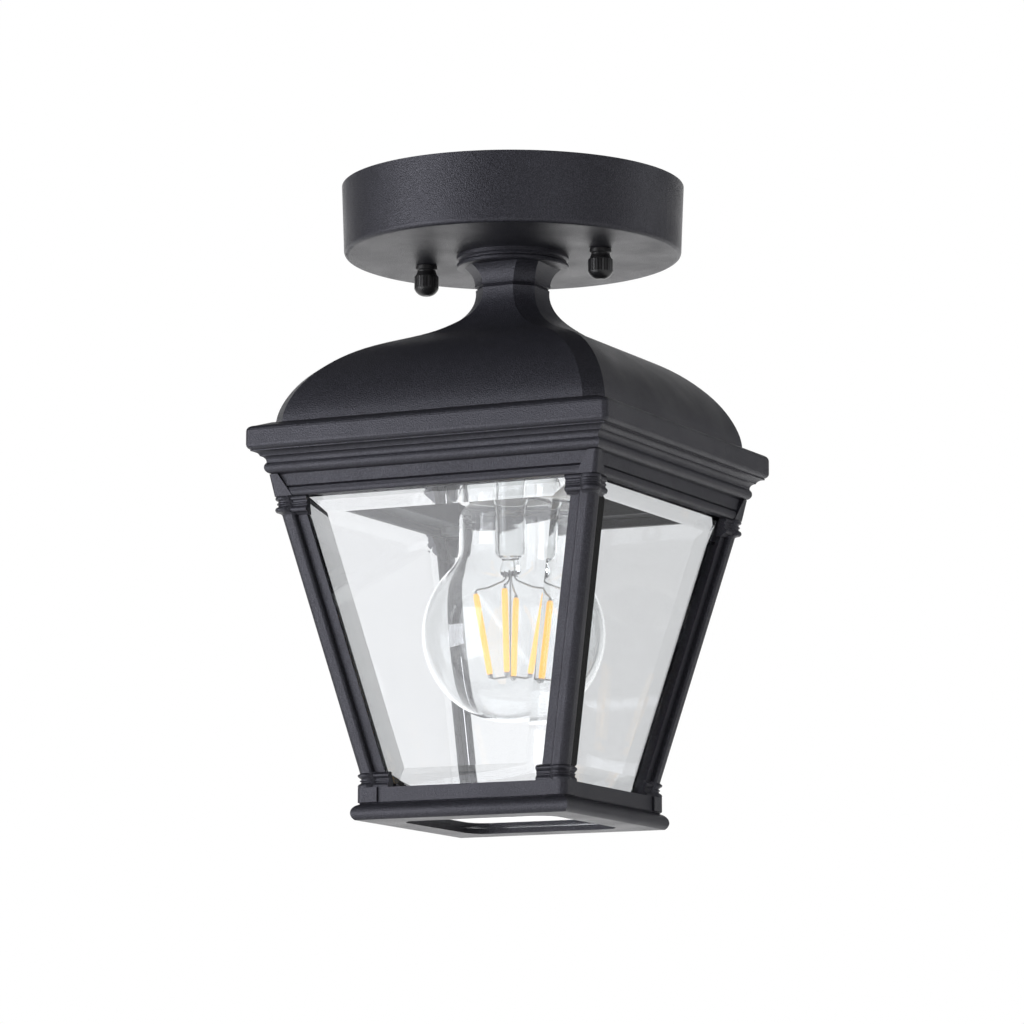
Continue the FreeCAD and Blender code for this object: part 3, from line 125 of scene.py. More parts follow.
# ---------------------------------------------------------------- colours and nodes
def linear(hex_colour):
    """An sRGB colour such as "1c1c1e" as linear RGBA."""
    channels = [int(hex_colour[i:i + 2], 16) / 255 for i in (0, 2, 4)]
    return (*[c / 12.92 if c <= 0.04045 else ((c + 0.055) / 1.055) ** 2.4 for c in channels], 1.0)


def as_colour(colour):
    """A hex string, or a colour setting, as linear RGBA."""
    return linear(colour) if isinstance(colour, str) else (*colour[:3], 1.0)


def per_mm(size):
    """Texture scale that gives a pattern of this size in mm, for coordinates in metres."""
    return 1.0 / (size * MM)


def add_node(tree, kind, inputs=None, feeds=None, **settings):
    """Adds a node. An input is a value, or another node's output to link; what the node feeds is
    the name of its output, with the input to link that to."""
    made = tree.nodes.new(kind)
    for name, value in settings.items():
        setattr(made, name, value)
    for name, value in (inputs or {}).items():
        if isinstance(value, bpy.types.NodeSocket):
            tree.links.new(value, made.inputs[name])
        else:
            made.inputs[name].default_value = value
    if feeds:
        tree.links.new(made.outputs[feeds[0]], feeds[1])
    return made


def new_material(name, base, **constants):
    """A material with its Principled shader's own sockets set, and coordinates in metres that are
    fixed to the piece."""
    material = bpy.data.materials.new(name)
    material.use_nodes = True
    tree = material.node_tree
    shader = tree.nodes["Principled BSDF"]
    shader.inputs["Base Color"].default_value = as_colour(base)
    for socket, value in constants.items():
        shader.inputs[socket.replace("_", " ")].default_value = value
    return material, tree, shader, add_node(tree, "ShaderNodeTexCoord").outputs["Object"]


# ---------------------------------------------------------------- materials
def powder_coat(finish):
    """Fine-textured polyester powder coat, sprayed and baked on cast aluminium: satin blue-black,
    with a sandy grain that sparkles at the edge of every highlight. The lighter specks on the grain's
    tops are painted glints."""
    material, tree, shader, where = new_material(
        "fine_texture_powder_coat", finish.coat_colour, Roughness=finish.coat_roughness, IOR=1.5)
    shader.inputs["Specular Tint"].default_value = as_colour(finish.coat_tint)
    # The real grit is near 0.2 mm; it is drawn coarser so that it shows.
    grit = add_node(tree, "ShaderNodeTexNoise", {"Vector": where, "Scale": per_mm(finish.coat_grit),
                                                 "Detail": 2.0, "Roughness": 0.7})
    pebbles = add_node(tree, "ShaderNodeTexVoronoi", {"Vector": where,
                                                      "Scale": per_mm(finish.coat_grit * 1.3)})
    clouds = add_node(tree, "ShaderNodeTexNoise", {"Vector": where, "Scale": per_mm(16.0),
                                                   "Detail": 3.0})
    mixed = add_node(tree, "ShaderNodeMath", {0: grit.outputs["Fac"], 1: pebbles.outputs["Distance"]},
                     operation="ADD")
    add_node(tree, "ShaderNodeBump", {"Height": mixed.outputs["Value"],
                                      "Distance": finish.coat_grit_depth * MM},
             ("Normal", shader.inputs["Normal"]))
    # Lighter specks on the grain's tops: painted glints of the grit, put into the base colour.
    specks = add_node(tree, "ShaderNodeMapRange", {"Value": grit.outputs["Fac"], "From Min": 0.4,
                                                   "From Max": 0.72})
    add_node(tree, "ShaderNodeMix", {"Factor": specks.outputs["Result"],
                                     "A": as_colour(finish.coat_colour),
                                     "B": as_colour(finish.coat_glint_colour)},
             ("Result", shader.inputs["Base Color"]), data_type="RGBA")
    add_node(tree, "ShaderNodeMapRange", {"Value": clouds.outputs["Fac"],
                                          "To Min": finish.coat_roughness - 0.12,
                                          "To Max": finish.coat_roughness + 0.12},
             ("Result", shader.inputs["Roughness"]))
    return material


def blacked_brass(finish):
    """Knurled brass turned on a lathe and blacked: darker and smoother than the coat, with a
    little brown where the knurl's edges are rubbed."""
    material, tree, shader, where = new_material(
        "blacked_turned_brass", "17171a", Roughness=0.36, IOR=1.5)
    rubbed = add_node(tree, "ShaderNodeTexNoise", {"Vector": where, "Scale": per_mm(1.6),
                                                   "Detail": 4.0})
    worn = add_node(tree, "ShaderNodeMapRange", {"Value": rubbed.outputs["Fac"], "To Min": -0.4,
                                                 "To Max": 0.9})
    add_node(tree, "ShaderNodeMix", {"Factor": worn.outputs["Result"], "A": linear("141416"),
                                     "B": linear("2c2a2a")},
             ("Result", shader.inputs["Base Color"]), data_type="RGBA")
    lathe_marks = add_node(tree, "ShaderNodeTexWave", {"Vector": where, "Scale": per_mm(1.4),
                                                       "Distortion": 0.4}, bands_direction="Z")
    add_node(tree, "ShaderNodeBump", {"Height": lathe_marks.outputs["Fac"], "Distance": 0.01 * MM},
             ("Normal", shader.inputs["Normal"]))
    return material


def zinc_plate():
    """Zinc-plated pressed steel: bright, faintly blue, with rolling streaks and cloudy patches."""
    material, tree, shader, where = new_material(
        "zinc_plated_steel", "c3c6c9", Metallic=1.0, Roughness=0.32)
    streaked = add_node(tree, "ShaderNodeMapping", {"Vector": where, "Scale": (0.1, 1.0, 1.0)})
    rolling = add_node(tree, "ShaderNodeTexNoise", {"Vector": streaked.outputs["Vector"],
                                                    "Scale": per_mm(0.8), "Detail": 3.0})
    patches = add_node(tree, "ShaderNodeTexNoise", {"Vector": where, "Scale": per_mm(7.0)})
    add_node(tree, "ShaderNodeMix", {"Factor": patches.outputs["Fac"], "A": linear("aeb3b8"),
                                     "B": linear("d6d7d6")},
             ("Result", shader.inputs["Base Color"]), data_type="RGBA")
    add_node(tree, "ShaderNodeMapRange", {"Value": rolling.outputs["Fac"], "To Min": 0.22,
                                          "To Max": 0.42},
             ("Result", shader.inputs["Roughness"]))
    add_node(tree, "ShaderNodeBump", {"Height": rolling.outputs["Fac"], "Distance": 0.01 * MM},
             ("Normal", shader.inputs["Normal"]))
    return material


def rolled_thread():
    """Zinc-plated rod with a rolled thread: bright on the crests, with painted shade darkening the
    roots.
    """
    material, tree, shader, where = new_material(
        "zinc_plated_thread", "b9bcbf", Metallic=1.0, Roughness=0.3)
    scale = add_node(tree, "ShaderNodeTexNoise", {"Vector": where, "Scale": per_mm(1.2), "Detail": 4.0})
    # Pointiness darkens the thread's roots to grey and lightens its crests: painted shade in the roots.
    crests = add_node(tree, "ShaderNodeNewGeometry").outputs["Pointiness"]
    root_shade = add_node(tree, "ShaderNodeMapRange", {"Value": crests, "To Min": -1.0, "To Max": 2.0})
    add_node(tree, "ShaderNodeMix", {"Factor": root_shade.outputs["Result"], "A": linear("7d8084"),
                                     "B": linear("cfd1d3")},
             ("Result", shader.inputs["Base Color"]), data_type="RGBA")
    add_node(tree, "ShaderNodeMapRange", {"Value": scale.outputs["Fac"], "To Min": 0.22,
                                          "To Max": 0.42},
             ("Result", shader.inputs["Roughness"]))
    return material


def green_lacquer():
    """Steel dipped in green lacquer: glossy, thinner and darker at the edges."""
    material, tree, shader, where = new_material(
        "green_lacquered_steel", "2f6b3c", Roughness=0.3, IOR=1.5, Coat_Weight=0.4)
    runs = add_node(tree, "ShaderNodeTexNoise", {"Vector": where, "Scale": per_mm(3.0)})
    add_node(tree, "ShaderNodeMix", {"Factor": runs.outputs["Fac"], "A": linear("265833"),
                                     "B": linear("3a7b48")},
             ("Result", shader.inputs["Base Color"]), data_type="RGBA")
    return material


def glazed_porcelain():
    """Slip-cast porcelain under a clear glaze: warm white, glassy, faintly rippled."""
    material, tree, shader, where = new_material(
        "glazed_porcelain", "ebe8e0", Roughness=0.14, IOR=1.5, Coat_Weight=0.6, Coat_Roughness=0.05)
    ripple = add_node(tree, "ShaderNodeTexNoise", {"Vector": where, "Scale": per_mm(4.0)})
    specks = add_node(tree, "ShaderNodeTexNoise", {"Vector": where, "Scale": per_mm(0.9),
                                                   "Detail": 5.0})
    add_node(tree, "ShaderNodeMix", {"Factor": specks.outputs["Fac"], "A": linear("dfdbd1"),
                                     "B": linear("f3f1ea")},
             ("Result", shader.inputs["Base Color"]), data_type="RGBA")
    add_node(tree, "ShaderNodeBump", {"Height": ripple.outputs["Fac"], "Distance": 0.03 * MM},
             ("Normal", shader.inputs["Normal"]))
    return material


def rolled_brass():
    """Thin brass strip rolled to shape: yellow, bright, with a brown film in patches."""
    material, tree, shader, where = new_material(
        "rolled_brass_strip", "c9a65a", Metallic=1.0, Roughness=0.28)
    film = add_node(tree, "ShaderNodeTexNoise", {"Vector": where, "Scale": per_mm(5.0), "Detail": 4.0})
    add_node(tree, "ShaderNodeMix", {"Factor": film.outputs["Fac"], "A": linear("a98347"),
                                     "B": linear("d8b96e")},
             ("Result", shader.inputs["Base Color"]), data_type="RGBA")
    add_node(tree, "ShaderNodeMapRange", {"Value": film.outputs["Fac"], "To Min": 0.2,
                                          "To Max": 0.38},
             ("Result", shader.inputs["Roughness"]))
    return material


def nickel_bright():
    """Nickel-plated brass lamp cap, rolled and crimped: mirror-like with fine scuffs."""
    material, tree, shader, where = new_material(
        "nickel_bright_cap", "d2d0cb", Metallic=1.0, Roughness=0.2)
    scuffs = add_node(tree, "ShaderNodeTexNoise", {"Vector": where, "Scale": per_mm(0.6),
                                                   "Detail": 5.0})
    add_node(tree, "ShaderNodeMapRange", {"Value": scuffs.outputs["Fac"], "To Min": 0.12,
                                          "To Max": 0.34},
             ("Result", shader.inputs["Roughness"]))
    add_node(tree, "ShaderNodeBump", {"Height": scuffs.outputs["Fac"], "Distance": 0.008 * MM},
             ("Normal", shader.inputs["Normal"]))
    return material


def black_cap_glass():
    """Pressed black glass between the lamp's contacts: smooth, with mould ripples."""
    material, tree, shader, where = new_material(
        "pressed_black_glass", "121215", Roughness=0.12, IOR=1.52)
    ripple = add_node(tree, "ShaderNodeTexNoise", {"Vector": where, "Scale": per_mm(2.5)})
    add_node(tree, "ShaderNodeBump", {"Height": ripple.outputs["Fac"], "Distance": 0.03 * MM},
             ("Normal", shader.inputs["Normal"]))
    return material


def tin_solder():
    """A dab of tin solder, rubbed flat by the contact: dull grey with brighter rubs."""
    material, tree, shader, where = new_material(
        "tin_solder", "b4b5b4", Metallic=1.0, Roughness=0.42)
    rubs = add_node(tree, "ShaderNodeTexNoise", {"Vector": where, "Scale": per_mm(0.8),
                                                 "Detail": 3.0})
    add_node(tree, "ShaderNodeMapRange", {"Value": rubs.outputs["Fac"], "To Min": 0.25,
                                          "To Max": 0.6},
             ("Result", shader.inputs["Roughness"]))
    add_node(tree, "ShaderNodeBump", {"Height": rubs.outputs["Fac"], "Distance": 0.05 * MM},
             ("Normal", shader.inputs["Normal"]))
    return material


def nickel_wire():
    """Drawn nickel wire: straight, silvery, with die lines along it."""
    material, tree, shader, where = new_material(
        "drawn_nickel_wire", "b7b8b9", Metallic=1.0, Roughness=0.3)
    lines = add_node(tree, "ShaderNodeTexNoise", {"Vector": where, "Scale": per_mm(0.5)})
    add_node(tree, "ShaderNodeMapRange", {"Value": lines.outputs["Fac"], "To Min": 0.22,
                                          "To Max": 0.4},
             ("Result", shader.inputs["Roughness"]))
    return material


def blown_glass(finish):
    """Soda-lime glass blown thin in a mould: colourless, with the slightest unevenness."""
    material, tree, shader, where = new_material(
        "blown_lamp_glass", finish.lamp_glass_colour, Roughness=0.0, IOR=1.5, Transmission_Weight=1.0)
    uneven = add_node(tree, "ShaderNodeTexNoise", {"Vector": where, "Scale": per_mm(22.0)})
    add_node(tree, "ShaderNodeBump", {"Height": uneven.outputs["Fac"], "Distance": 0.02 * MM,
                                      "Strength": 0.4},
             ("Normal", shader.inputs["Normal"]))
    return material


def bevelled_glass(finish):
    """Clear float glass with ground and polished bevels: faint green, crisp edges, hardly wavy."""
    material, tree, shader, where = new_material(
        "polished_float_glass", finish.pane_colour, Roughness=0.0, IOR=1.52, Transmission_Weight=1.0)
    draw = add_node(tree, "ShaderNodeTexNoise", {"Vector": where, "Scale": per_mm(40.0)})
    add_node(tree, "ShaderNodeBump", {"Height": draw.outputs["Fac"], "Distance": 0.01 * MM,
                                      "Strength": 0.3},
             ("Normal", shader.inputs["Normal"]))
    return material


def phosphor_silicone(finish):
    """Silicone loaded with yellow phosphor, moulded on each stick: soft, matt, amber-yellow, with a
    painted glow.
    """
    # The emission is a painted glow standing in for light on the phosphor.
    material, tree, shader, where = new_material(
        "phosphor_silicone", finish.filament_colour, Roughness=0.5, IOR=1.41,
        Emission_Strength=finish.filament_painted_glow)
    shader.inputs["Emission Color"].default_value = as_colour(finish.filament_colour)
    grains = add_node(tree, "ShaderNodeTexNoise", {"Vector": where, "Scale": per_mm(0.7),
                                                   "Detail": 3.0})
    add_node(tree, "ShaderNodeMix", {"Factor": grains.outputs["Fac"], "A": linear("f0ae3a"),
                                     "B": linear("fccb66")},
             ("Result", shader.inputs["Base Color"]), data_type="RGBA")
    add_node(tree, "ShaderNodeBump", {"Height": grains.outputs["Fac"], "Distance": 0.03 * MM},
             ("Normal", shader.inputs["Normal"]))
    return material


def dress(names, material):
    """Gives carried-over CAD nodes their finish."""
    for name in names:
        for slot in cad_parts[name].material_slots:
            slot.material = material


# ---------------------------------------------------------------- mesh helpers
def mesh_object(name, mesh_data, material, smooth_angle=None):
    """Makes a mesh object with one material; above the angle, edges stay sharp."""
    mesh = bpy.data.meshes.new(name)
    mesh_data.to_mesh(mesh)
    mesh_data.free()
    mesh.materials.append(material)
    for face in mesh.polygons:
        face.use_smooth = True
    made = bpy.data.objects.new(name, mesh)
    bpy.context.scene.collection.objects.link(made)
    if smooth_angle is not None:
        mesh.set_sharp_from_angle(angle=math.radians(smooth_angle))
    return made


def level_ring(mesh, radius, height, sides):
    """Vertices on a level circle round Z, in mm."""
    return [mesh.verts.new((radius * MM * math.cos(2 * math.pi * k / sides),
                            radius * MM * math.sin(2 * math.pi * k / sides), height * MM))
            for k in range(sides)]


def band(mesh, first, second):
    """Faces between two rings of as many vertices."""
    for k in range(len(first)):
        n = (k + 1) % len(first)
        mesh.faces.new((first[k], first[n], second[n], second[k]))


def lathe(profile, sides):
    """A surface turned about Z from (radius, height) points in mm; a closed one gives a solid."""
    turned = bmesh.new()
    rings = []
    for radius, height in profile:
        if radius < 1e-6:
            rings.append([turned.verts.new((0, 0, height * MM))])
            continue
        rings.append(level_ring(turned, radius, height, sides))
    for first, second in zip(rings, rings[1:]):
        for k in range(sides):
            n = (k + 1) % sides
            corners = [first[k % len(first)], first[n % len(first)],
                       second[n % len(second)], second[k % len(second)]]
            corners = list(dict.fromkeys(corners))
            if len(corners) > 2:
                turned.faces.new(corners)
    # A closed profile's first and last points meet: welding them lets the normals follow one skin.
    bmesh.ops.remove_doubles(turned, verts=turned.verts, dist=MM * 1e-3)
    bmesh.ops.recalc_face_normals(turned, faces=turned.faces)
    return turned


def bow(start, end, radius, count):
    """Points from start to end, both (radius, height), on the shorter arc. A positive radius
    turns left."""
    start, end = Vector(start), Vector(end)
    chord = end - start
    reach = math.sqrt(max(radius * radius - chord.length_squared / 4.0, 0.0))
    side = Vector((-chord.y, chord.x)).normalized()
    centre = (start + end) / 2.0 + side * math.copysign(reach, radius)
    first = start - centre
    sweep = math.copysign(first.angle(end - centre), radius)
    for k in range(1, count + 1):
        turn = sweep * k / count
        yield (centre.x + first.x * math.cos(turn) - first.y * math.sin(turn),
               centre.y + first.x * math.sin(turn) + first.y * math.cos(turn))


def helix_skin(radius, depth, pitch, top, foot, sides, rows_per_turn, ends):
    """A rod or shell with a rolled thread, in mm: the skin waves in and out along a helix. Each
    end has a bore, or None where it is closed."""
    count = max(2, round((top - foot) / pitch * rows_per_turn))
    skin = bmesh.new()
    rings = []
    for row in range(count + 1):
        height = top + (foot - top) * row / count
        fade = min(1.0, row / rows_per_turn, (count - row) / rows_per_turn)
        ring = []
        for k in range(sides):
            angle = 2 * math.pi * k / sides
            wave = 0.5 + 0.5 * math.cos(angle - 2 * math.pi * height / pitch)
            reach = (radius - depth * (1.0 - wave * fade)) * MM
            ring.append(skin.verts.new((reach * math.cos(angle), reach * math.sin(angle), height * MM)))
        rings.append(ring)
    for first, second in zip(rings, rings[1:]):
        band(skin, first, second)
    for ring, bore in zip((rings[0], rings[-1]), ends):
        if bore is None:
            skin.faces.new(ring)
    bores = [bore for bore in ends if bore is not None]
    if bores:
        lining = [level_ring(skin, bore, height, sides) for bore, height in zip(bores, (top, foot))]
        for first, second in ((rings[0], lining[0]), (lining[0], lining[1]), (lining[1], rings[-1])):
            band(skin, first, second)
    bmesh.ops.recalc_face_normals(skin, faces=skin.faces)
    return skin


def wire(path, radius, sides=10):
    """A round wire or stick through points in mm, closed at both ends."""
    made = bmesh.new()
    points = [Vector(point) for point in path]
    side = None
    rings = []
    for number, point in enumerate(points):
        ahead = points[min(number + 1, len(points) - 1)] - points[max(number - 1, 0)]
        ahead.normalize()
        if side is None:
            side = ahead.orthogonal()
        side = (side - ahead * side.dot(ahead)).normalized()
        other = ahead.cross(side)
        thick = radius[number] if isinstance(radius, (list, tuple)) else radius
        ring = []
        for k in range(sides):
            angle = 2 * math.pi * k / sides
            offset = (side * math.cos(angle) + other * math.sin(angle)) * thick
            ring.append(made.verts.new((point + offset) * MM))
        rings.append(ring)
    for first, second in zip(rings, rings[1:]):
        band(made, first, second)
    made.faces.new(rings[0])
    made.faces.new(rings[-1])
    bmesh.ops.recalc_face_normals(made, faces=made.faces)
    return made


def joined(pieces):
    """Several meshes as one."""
    whole = bmesh.new()
    for piece in pieces:
        mesh = bpy.data.meshes.new("piece")
        piece.to_mesh(mesh)
        piece.free()
        whole.from_mesh(mesh)
        bpy.data.meshes.remove(mesh)
    return whole


def between(start, end, share):
    """The point at a share of the way from start to end."""
    return Vector(start).lerp(Vector(end), share)


def box_mm(node):
    """A node's lowest and highest corners in mm."""
    low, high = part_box(node)
    return Vector(low) / MM, Vector(high) / MM


def stand_for(piece, node, body):
    """Lets a piece take a CAD node's place on its body."""
    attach(piece, body)
    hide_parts(node)


# ---------------------------------------------------------------- pieces
def lamp_profile(inset):
    """Half outline of the lamp's envelope in mm, seat to end, drawn in by an inset."""
    low, high = box_mm("bulb_glass")
    whole, centre = high.x, low.z + high.x
    seat, neck, radius = LAMP_SEAT_RADIUS - inset, LAMP_NECK_RADIUS - inset, whole - inset
    bend = high.z - LAMP_SEAT
    rim = bend - LAMP_RIM_DROP
    reach = whole + LAMP_NECK_FILLET
    share = radius / reach
    meeting = LAMP_NECK_RADIUS + LAMP_NECK_FILLET
    sweep = math.sqrt(reach * reach - meeting * meeting)
    places = [(seat, high.z), (seat, bend), (seat + LAMP_RIM_SPREAD, rim)]
    places += bow(places[-1], (neck, rim - LAMP_SHOULDER), inset - LAMP_SHOULDER, 10)
    places.append((neck, centre + sweep))
    places += bow(places[-1], (meeting * share, centre + sweep * share), LAMP_NECK_FILLET + inset, 12)
    places += bow(places[-1], (radius, centre), -radius, 14)
    places += bow((radius, centre), (0.0, centre - radius), -radius, 32)
    places[-1] = (0.0, centre - radius)
    return places


def lamp_envelope(finish):
    """Blown envelope, an even wall thick."""
    outer, inner = lamp_profile(0.0), lamp_profile(LAMP_WALL)
    skin = lathe(outer + inner[::-1] + outer[:1], 96)
    made = mesh_object("lamp_envelope", skin, blown_glass(finish), 50)
    stand_for(made, "bulb_glass", "bulb")


def lamp_stem(finish):
    """Stem: a wide glass tube, drawn in at its end and pinched flat round the lead wires."""
    low, high = box_mm("bulb_stem")
    flare = high.x
    outer = [(flare, high.z), (flare, high.z - STEM_LIP)]
    outer += bow(outer[-1], (STEM_RADIUS + STEM_TAPER, high.z - STEM_FLARE_DEPTH), STEM_FLARE_CURVE, 8)
    outer += [(STEM_RADIUS, high.z - STEM_TAPER_DEPTH), (STEM_RADIUS, low.z + STEM_PINCH + 1.0)]
    outer += [(STEM_RADIUS * share, low.z + STEM_PINCH * rise) for share, rise in PINCH]
    inner = [(max(radius - STEM_WALL, STEM_LEAST_BORE), height) for radius, height in outer[:-6]]
    profile = outer + [(0.0, low.z)] + [(0.0, inner[-1][1])] + inner[::-1] + outer[:1]
    stem = lathe(profile, 48)
    for vertex in stem.verts:
        rise = (vertex.co.z / MM - low.z) / STEM_PINCH
        vertex.co.y *= 1.0 - STEM_PINCH_FLATNESS * max(0.0, min(1.0, 1.1 - rise)) ** 0.5
    made = mesh_object("lamp_stem", stem, blown_glass(finish), 50)
    stand_for(made, "bulb_stem", "bulb")


def filament_line(number):
    """Upper and lower ends of one filament in mm."""
    low, high = box_mm("bulb_filaments")
    ends = []
    angle = math.radians(FILAMENT_TURN + 360 / FILAMENTS * number)
    for circle, height in ((FILAMENT_TOP_CIRCLE, high.z), (FILAMENT_FOOT_CIRCLE, low.z)):
        ends.append(Vector((circle * math.cos(angle), circle * math.sin(angle), height)))
    return ends


def lamp_filaments(finish):
    """Sticks, each moulded in yellow silicone with round ends."""
    sticks = []
    for number in range(FILAMENTS):
        upper, lower = filament_line(number)
        sticks.append(wire([between(upper, lower, step) for step, _ in STICK],
                           [FILAMENT_WIDTH / 2 * share for _, share in STICK], 16))
    made = mesh_object("lamp_filaments", joined(sticks), phosphor_silicone(finish), 50)
    stand_for(made, "bulb_filaments", "bulb")


def lamp_wires():
    """Lead wires from the stem's pinch to the filaments, and the cross that joins their feet."""
    stem_foot = box_mm("bulb_stem")[0].z
    root = Vector((0.0, 0.0, stem_foot + LEAD_ROOT_DEPTH))
    hub = Vector((0.0, 0.0, filament_line(0)[1].z + 0.4))
    wires = []
    for number in range(FILAMENTS):
        upper, lower = filament_line(number)
        out = Vector((upper.x, upper.y, 0.0)).normalized()
        start = root + out * LEAD_SPREAD
        elbow = Vector((start.x, start.y, stem_foot - LEAD_ELBOW_DROP)) + out * LEAD_ELBOW_REACH
        lead = [start, Vector((start.x, start.y, stem_foot - 0.4)), elbow,
                between(elbow, upper, 0.55) + Vector((0, 0, -0.3)),
                upper + Vector((0, 0, 0.7)) - out * 0.6, upper, between(upper, lower, 0.03)]
        wires.append(wire(lead, LEAD_RADIUS))
        wires.append(wire([upper, between(upper, lower, 0.035)], TAB_RADIUS))
        wires.append(wire([between(upper, lower, share) for share in (0.95, 0.965, 0.985, 1.0)],
                          [TAB_RADIUS, KNOT_RADIUS, KNOT_RADIUS, TAB_RADIUS]))
        tail = [between(upper, lower, 0.99), lower + (hub - lower) * 0.2 - Vector((0, 0, 0.25)),
                between(lower, hub, 0.6), hub]
        wires.append(wire(tail, LEAD_RADIUS))
    wires.append(wire([root, hub], LEAD_RADIUS))
    made = mesh_object("lamp_wires", joined(wires), nickel_wire(), 50)
    stand_for(made, "bulb_support_wires", "bulb")


def lamp_cap():
    """Rolled screw cap: a thin shell with its thread running down it in one helix."""
    low, high = box_mm("bulb_cap")
    inner = high.x - CAP_THREAD_DEPTH - CAP_WALL
    skin = helix_skin(high.x, CAP_THREAD_DEPTH, CAP_PITCH, high.z, low.z, 64, 12, (inner, inner))
    made = mesh_object("lamp_cap", skin, nickel_bright(), 40)
    stand_for(made, "bulb_cap", "bulb")


def threaded_rods():
    """The two studs and the hanger pipe, with their rolled threads."""
    finish = rolled_thread()
    for node, pitch, bore, sides in (("stud_left", STUD_PITCH, None, 24),
                                     ("stud_right", STUD_PITCH, None, 24),
                                     ("hanger_pipe", PIPE_PITCH, PIPE_BORE_RADIUS, 40)):
        low, high = box_mm(node)
        middle = (low + high) / 2.0
        radius, depth = (high.x - low.x) / 2.0, pitch * THREAD_DEPTH_SHARE
        rod = helix_skin(radius, depth, pitch, high.z, low.z, sides, 6, (bore, bore))
        bmesh.ops.translate(rod, verts=rod.verts, vec=(middle.x * MM, middle.y * MM, 0.0))
        made = mesh_object(f"{node}_threaded", rod, finish, 60)
        stand_for(made, node, "fixture")


# ---------------------------------------------------------------- settings
def colour_setting(name, description, hex_colour):
    """A colour property with an sRGB default."""
    return FloatVectorProperty(name=name, description=description, subtype="COLOR", size=4, min=0.0,
                               max=1.0, default=linear(hex_colour))


class LanternFinish(bpy.types.PropertyGroup):
    """Colours and grain of the lantern's finishes"""
    coat_colour: colour_setting("Coat colour", "Powder coat", "121216")
    # Colour of the painted glints on the tops of the coat's grain.
    coat_glint_colour: colour_setting("Painted glint colour", "Painted glints on the tops of the coat's grain", "3c3c43")
    coat_tint: colour_setting("Coat tint", "Colour of the coat's own highlights", "e9e8f4")
    coat_roughness: FloatProperty(name="Coat roughness", description="Satin of the coat", default=0.42,
                                  min=0.1, max=1.0)
    coat_grit: FloatProperty(name="Coat grit", description="Grain of the coat as drawn, in mm",
                             default=0.36, min=0.1)
    coat_grit_depth: FloatProperty(name="Grit depth", description="Relief of the grain, in mm",
                                   default=0.08, min=0.0)
    pane_colour: colour_setting("Pane colour", "Float glass", "f2f3f4")
    lamp_glass_colour: colour_setting("Lamp glass colour", "Lamp envelope", "fdfefe")
    filament_colour: colour_setting("Filament colour", "Phosphor", "fbc044")
    # Strength of the phosphor's painted glow.
    filament_painted_glow: FloatProperty(name="Filament painted glow", description="Painted glow of the phosphor",
                                 default=0.95, min=0.0)


class LanternStage(bpy.types.PropertyGroup):
    """Camera and light"""
    camera_place: FloatVectorProperty(name="Camera place", subtype="XYZ", unit="LENGTH",
                                      description="Where the photograph was taken from",
                                      default=(0.7134, -1.4385, -0.3632))
    camera_lens: FloatProperty(name="Lens", description="Focal length on a 36 mm sensor, in mm",
                               default=164.37)
    camera_azimuth: FloatProperty(name="Azimuth", description="Turn about Z", subtype="ANGLE",
                                  default=math.radians(26.38))
    camera_pitch: FloatProperty(name="Pitch", description="Tilt above the horizon", subtype="ANGLE",
                                default=math.radians(8.79))
    camera_roll: FloatProperty(name="Roll", description="Turn about the line of sight", subtype="ANGLE",
                               default=math.radians(0.13))
    floor_drop: FloatProperty(name="Floor drop", description="Floor below the ceiling plane",
                              unit="LENGTH", default=2.4)
    room_low: FloatProperty(name="Room below", description="Brightness of the room from below",
                            default=1.5)
    room_high: FloatProperty(name="Room above", description="Brightness of the room from above",
                             default=0.1)
    gloss_low: FloatProperty(name="Gloss below", description="Room from below as gloss shows it",
                             default=0.5)
    gloss_high: FloatProperty(name="Gloss above", description="Room from above as gloss shows it",
                              default=0.1)
    floor_gloss: FloatProperty(name="Floor in gloss", default=1.0,
                               description="Brightness of the floor as gloss shows it")
    backdrop: FloatProperty(name="Backdrop", description="Pale backdrop as gloss shows it", default=1.6)
    backdrop_towards: FloatVectorProperty(name="Backdrop towards", subtype="DIRECTION",
                                          description="Direction of its middle",
                                          default=(-0.44, 0.88, -0.18))
    lamp_colour: colour_setting("Lamp colour", "Soft lamps", "fafbff")
    key_power: FloatProperty(name="Key power", description="High soft lamp, left of the camera",
                             unit="POWER", default=5.2)
    fill_power: FloatProperty(name="Fill power", description="Low soft lamp, left of the camera",
                              unit="POWER", default=4.6)
    side_power: FloatProperty(name="Side power", description="Soft lamp to the left", unit="POWER",
                              default=8.0)
    front_power: FloatProperty(name="Front power", description="Broad soft lamp, right of the camera",
                               unit="POWER", default=3.6)
    rim_power: FloatProperty(name="Rim power", description="Lamp on the right and behind", unit="POWER",
                             default=3.0)


# ---------------------------------------------------------------- operators
class LANTERN_OT_castings(bpy.types.Operator):
    """Coats the canopy, roof and cage castings"""
    bl_idname = "lantern.castings"
    bl_label = "Coat Castings"

    def execute(self, context):
        coat = powder_coat(context.scene.lantern_finish)
        dress(("canopy",) + CASTINGS, coat)
        return {"FINISHED"}


class LANTERN_OT_cap_nuts(bpy.types.Operator):
    """Blacks the two knurled cap nuts"""
    bl_idname = "lantern.cap_nuts"
    bl_label = "Black Cap Nuts"

    def execute(self, context):
        dress(CAP_NUTS, blacked_brass(context.scene.lantern_finish))
        return {"FINISHED"}


class LANTERN_OT_ceiling_hardware(bpy.types.Operator):
    """Plates the crossbar, studs, pipe, nuts and screws"""
    bl_idname = "lantern.ceiling_hardware"
    bl_label = "Plate Hardware"

    def execute(self, context):
        dress(ZINC_PARTS, zinc_plate())
        threaded_rods()
        dress(("earth_screw",), green_lacquer())
        return {"FINISHED"}


